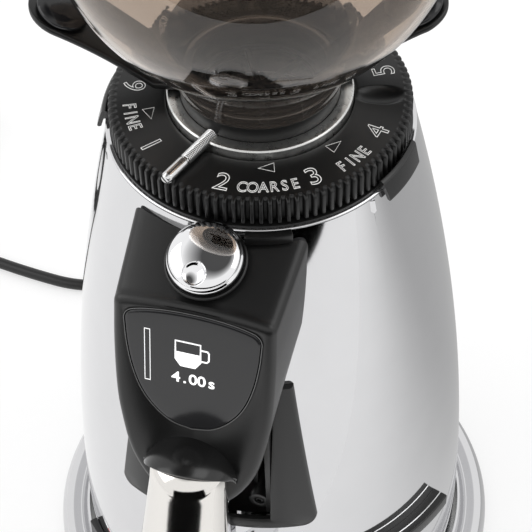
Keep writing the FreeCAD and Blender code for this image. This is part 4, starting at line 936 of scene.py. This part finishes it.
def front_panel():
    """Curved black plate with an opening down its middle, as a band round three sides."""
    turns = [math.pi / 2 * k / 6 for k in range(7)]
    corner = [(-44.4 + 4.4 * (1 - math.cos(a)), 122.4 - 4.4 * math.sin(a)) for a in turns]
    outer = [(-33 - 11.4 * k / 20, 203 - 80.6 * k / 20) for k in range(20)] + corner
    outer += [(-40 + 80 * k / 24, 118.0) for k in range(1, 24)] + [(-x, z) for x, z in corner[::-1]]
    outer += [(44.4 - 11.4 * k / 20, 122.4 + 80.6 * k / 20) for k in range(1, 21)]
    inner = [(-25.8, 203 - 79 * k / 23) for k in range(24)] + [(-25.8, 124.0)] * 3
    inner += [(-25.8 + 51.6 * k / 24, 124.0) for k in range(1, 24)] + [(25.8, 124.0)] * 3
    inner += [(25.8, 124 + 79 * k / 23) for k in range(24)]
    rings = []
    for (x0, z0), (x1, z1) in zip(outer, inner):
        a, b = Vector((x0, z0)), Vector((x1, z1))
        across = (b - a).normalized()
        width = (b - a).length
        rows = ((0, 0.25), (0, 1.5), (0.25, 2.2), (0.8, 2.55), (width * 0.5, 2.6), (width - 0.7, 2.55),
                (width - 0.2, 2.3), (width, 1.8), (width, 0.25))
        rings.append([on_housing(a.x + across.x * d, a.y + across.y * d, t) for d, t in rows])
    sharpen(loft("panel_plate", rings, "panel_black", "housing", ("front_panel",), (True, True)), 50)


def vent_hood():
    """The black hood over the vent, with a bright strip along its top."""
    section = rounded([(88.4, 80.6), (91.6, 80.1, 0.3), (97.4, 80.1, 1.0), (97.4, 87.5, 0.7),
                       (94.5, 87.6, 0.1), (94.3, 87.1, 0.1), (93.7, 87.1, 0.1), (93.5, 87.6, 0.1),
                       (90.7, 87.6, 0.2), (88.4, 87.0)], 0.3)
    arc_strip("vent_cover", section, 30, 73, "black_plastic", "housing", ("side_louvre",), 48)
    strip = [(93.75, 87.0), (94.25, 87.0), (94.25, 87.5), (93.75, 87.5)]
    arc_strip("vent_strip", strip, 30.2, 72.8, "bright_steel", "housing", (), 48)


# ---- cord ----

CORD = 6.4
ROUTE = [(-62.2, 107.73, 30), (-70, 121.63, 27.5), (-83, 133, 16), (-101, 134.5, 6), (-122, 124, 3.2),
         (-148, 113.5, 3.2), (-178, 115.5, 3.2), (-210, 120, 3.2), (-242, 127, 3.2), (-270, 131.6, 3.2)]
COIL_X, COIL_Y, COIL_OUTER = -291.0, 174.0, 41.9
PLUG_AT = (-305.0, 209.5, 12.9)


def coil_point(turns):
    """The cord's middle after a number of turns, clockwise from the coil's front: in, up and out again."""
    inwards = min(turns, 2.0) * CORD
    outwards = min(max(0.0, turns - 3.0), 2.0) * CORD
    lift = min(max(0.0, turns - 2.0), 1.0) * CORD
    last = min(max(0.0, (turns - 4.9) / 0.5), 1.0)
    last = last * last * (3 - 2 * last)
    radius = COIL_OUTER - inwards + outwards - 3.7 * last
    a = math.radians(-90 - 360 * turns)
    return (COIL_X + radius * math.cos(a), COIL_Y + radius * math.sin(a), 3.2 + lift + 10.3 * last)


def power_cord():
    """Mains cord on one smooth curve from the strain relief, over the surface and round the coil."""
    whole = ROUTE + [coil_point(k / 14) for k in range(76)]
    whole += [(-307.2, 209.4, 19.9), (-304.6, 209.5, 19.9)]
    data = bpy.data.curves.new("mains_cord", "CURVE")
    data.dimensions = "3D"
    data.bevel_depth = mm(CORD / 2)
    data.bevel_resolution = 5
    data.resolution_u = 8
    data.use_fill_caps = True
    spline = data.splines.new("NURBS")
    spline.points.add(len(whole) - 1)
    for point, place in zip(spline.points, whole):
        point.co = (*mm(*place), 1)
    spline.order_u = 3
    spline.use_endpoint_u = True
    data.materials.append(MATERIALS["cord_black"])
    thing = linked("mains_cord", data)
    settle(thing, "cord_black", "housing", ("power_cord", "power_cord_coil"))
    return thing


RELIEF_TIP, RELIEF_LONG, CORD_AZIMUTH, CORD_Z = 124.4, 33, 210, 30


def strain_relief():
    """Ribbed rubber sleeve where the cord leaves the housing."""
    profile = [(3.25, -4), (7.9, -4), (7.9, 0.6), (9.5, 0.6), (9.6, 2.6), (8.9, 3.4), (6.6, 4.0)]
    for k in range(9):
        at, r = 5.2 + 2.7 * k, 6.3 - 0.17 * k
        profile += [(r, at), (r, at + 1.5), (r - 0.9, at + 1.7), (r - 0.9, at + 2.5)]
    profile += [(4.6, 29.6), (4.3, 33), (3.25, 33)]
    wall = polar(RELIEF_TIP - RELIEF_LONG, CORD_AZIMUTH, CORD_Z)
    matrix = moved(*wall) @ spin(CORD_AZIMUTH) @ spin(90, "X")
    sharpen(lathe("strain_relief", profile, "rubber_black", "housing", ("cord_gland",), 64, True, matrix), 45)


def plug():
    """Moulded plug: a tapered body with finger ribs, and two round pins."""
    matrix = moved(*PLUG_AT) @ spin(-90)
    rings = []
    for at, half, low, high in (
            (0, 4.2, 3.0, 11.0), (0.5, 5, 2.2, 11.8), (5, 6.4, 1.4, 12.6), (9, 9, 0.8, 13.2),
            (14, 10.4, 0.3, 13.7), (22, 13, 0.05, 14), (28, 15.6, 0.05, 14), (32, 16.5, 0.05, 14),
            (39.2, 16.5, 0.05, 14), (40, 15.8, 0.8, 13.2)):
        rings.append([(x, at, z) for x, z in round_section(half, low, high, 3.2, 5)])
    body = loft("plug_grip", rings, "rubber_black", "housing", ("plug_body",), (True, True), matrix)
    pins = []
    for side in (-1, 1):
        pin = rounded([(0, 0), (2, 0, 0.1), (2, 17.6, 1.2), (0, 19)], 0.6, 5)
        turn = matrix @ moved(side * 9.5, 40, 7) @ spin(-90, "X")
        name = f"plug_pin_{side + 2}"
        pins.append(lathe(name, pin, "bright_steel", "housing", ("plug_pins",), 32, False, turn))
    return [body] + pins


# ---- stage, lights and camera ----

AIM = Vector((0, 0, 0.1882))
CAM_AZIMUTH, CAM_ELEVATION, CAM_DISTANCE, CAM_ROLL, LENS = 17.8, 48.34, 0.8117, -1.89, 124.56


def direction(azimuth, elevation):
    """A unit vector from its azimuth and elevation."""
    a, e = math.radians(azimuth), math.radians(elevation)
    return Vector((math.sin(a) * math.cos(e), -math.cos(a) * math.cos(e), math.sin(e)))


def camera():
    """A long lens from the front right, looking down."""
    data = bpy.data.cameras.new("camera")
    data.lens, data.sensor_width = LENS, 36.0
    data.clip_start = 0.02
    thing = linked("camera", data)
    away = direction(CAM_AZIMUTH, CAM_ELEVATION)
    level = away.to_track_quat("Z", "Y").to_matrix().to_4x4()
    thing.matrix_world = Matrix.Translation(AIM + away * CAM_DISTANCE) @ level @ spin(CAM_ROLL)
    scene.camera = thing


def area_light(name, azimuth, elevation, distance, size, power):
    """A square white softbox that faces the grinder."""
    data = bpy.data.lights.new(name, "AREA")
    data.shape = "RECTANGLE"
    data.size, data.size_y = size, size
    data.energy = power
    thing = linked(name, data)
    away = direction(azimuth, elevation)
    facing = away.to_track_quat("Z", "Y").to_matrix().to_4x4()
    thing.matrix_world = Matrix.Translation(AIM + away * distance) @ facing


def sky_light():
    """White sky near the horizon that falls to a dim grey overhead."""
    world = bpy.data.worlds.new("studio")
    scene.world = world
    world.use_nodes = True
    nodes, links = world.node_tree.nodes, world.node_tree.links
    set_inputs(nodes["Background"], Color=(1, 1, 1, 1))
    where = nodes.new("ShaderNodeTexCoord")
    split = nodes.new("ShaderNodeSeparateXYZ")
    fall = nodes.new("ShaderNodeMapRange")
    set_inputs(fall, From_Min=0.86, From_Max=0.97, To_Min=1.0, To_Max=0.08)
    links.new(where.outputs["Generated"], split.inputs["Vector"])
    links.new(split.outputs["Z"], fall.inputs["Value"])
    links.new(fall.outputs["Result"], nodes["Background"].inputs["Strength"])


def sheet(name, xs, ys, z, glow, color=0.5, fade=None):
    """A flat piece of the studio which shines by itself, evenly or falling off between two places on Y."""
    mesh = bpy.data.meshes.new(name)
    (left, right), (near, far) = xs, ys
    corners = [(left, near, z), (right, near, z), (right, far, z), (left, far, z)]
    mesh.from_pydata(corners, [], [(0, 1, 2, 3)])
    thing = linked(name, mesh)
    paper = bpy.data.materials.new(name + "_paper")
    paper.use_nodes = True
    nodes, links = paper.node_tree.nodes, paper.node_tree.links
    shader = nodes["Principled BSDF"]
    set_inputs(shader, Base_Color=(color, color, color, 1), Roughness=0.9, Specular_IOR_Level=0.0,
               Emission_Color=(1, 1, 1, 1), Emission_Strength=glow)
    if fade:
        where, split = nodes.new("ShaderNodeTexCoord"), nodes.new("ShaderNodeSeparateXYZ")
        fall = nodes.new("ShaderNodeMapRange")
        fall.interpolation_type = "SMOOTHSTEP"
        set_inputs(fall, From_Min=fade[1], From_Max=fade[2], To_Min=glow, To_Max=fade[0])
        links.new(where.outputs["Object"], split.inputs["Vector"])
        links.new(split.outputs["Y"], fall.inputs["Value"])
        links.new(fall.outputs["Result"], shader.inputs["Emission Strength"])
    mesh.materials.append(paper)
    return thing


def hide_card(card):
    """Leaves a studio card to be seen in reflections only."""
    card.visible_camera = False
    card.visible_diffuse = False
    card.visible_transmission = False
    card.visible_shadow = False


def dark_card_place(x, y):
    """A matrix that stands a card up on the floor, facing the grinder."""
    return moved(x, y, 1) @ spin(CAM_AZIMUTH) @ spin(90, "X")


CARD_FAR = 950


def stage():
    """Sky, shining floor, the cards that the polished steel mirrors, and two softboxes."""
    sky_light()
    sheet("floor", (-6, 6), (-6, 6), 0, 0.55, 0.5)
    # The grey card is a painted reflection: a glowing sheet on the right, seen only in the polished steel,
    # full bright in front of the grinder and falling to half behind it.
    grey = sheet("grey_card", (0.0, 1.6), (-0.16, 2.0), 0.002, 1.0, 0.0, (0.5, -0.16, 0.14))
    hide_card(grey)
    dark = sheet("dark_card", (-0.75, 0.75), (0.0, 0.5), 0, 0.0, 0.0)
    x, y, _ = polar(CARD_FAR, CAM_AZIMUTH)
    dark.matrix_world = dark_card_place(x, y)
    hide_card(dark)
    strip = sheet("dark_strip", (-0.75, 0.75), (-0.05, 0.35), 0, 0.0, 0.0)
    strip.matrix_world = moved(x, y, 2) @ spin(CAM_AZIMUTH)
    hide_card(strip)
    area_light("softbox_left", -70, 40, 1.6, 1.1, 5)
    area_light("softbox_right", 100, 50, 1.6, 0.9, 3)


# ---- making the pieces ----

camera()
mains_cord = power_cord()
strain_relief()
cord_pieces = plug()
shell = body_shell()
trim_ring = base_parts()
dial_ring()
dial_marks()
hopper()
lid()
lever()
lock_pin()
make_knob_way(shell, trim_ring, cap_ears())
head_shell()
window()
knob()
spout()
front_panel()
vent_hood()
for azimuth in (41.8, 161.8, -78.2):
    x, y, _ = polar(41, azimuth)
    screw_head(f"dial_screw_{int(azimuth) % 360}", 3.0, 1.5, "black_steel", "dial",
               placed(x, y, DIAL_TOP - 1.6, "Z", azimuth), True, ("dial_screws",))
for side in (-1, 1):
    screw_head(f"panel_screw_{side + 2}", 2.1, 1.6, "black_steel", "housing",
               placed(side * 20, -81.2, 131, "X", 90), False, ("panel_screws",))
for node, width in (("fork_rail", 0.4), ("portafilter_fork", 0.8), ("start_button", 0.5),
                    ("switch_bezel", 0.6), ("power_rocker", 0.5), ("fork_screw", 0.3),
                    ("dial_index_block", 0.35), ("burr_carrier", 0.25)):
    soften(node, width)
stage()
scene.view_settings.view_transform = "Standard"
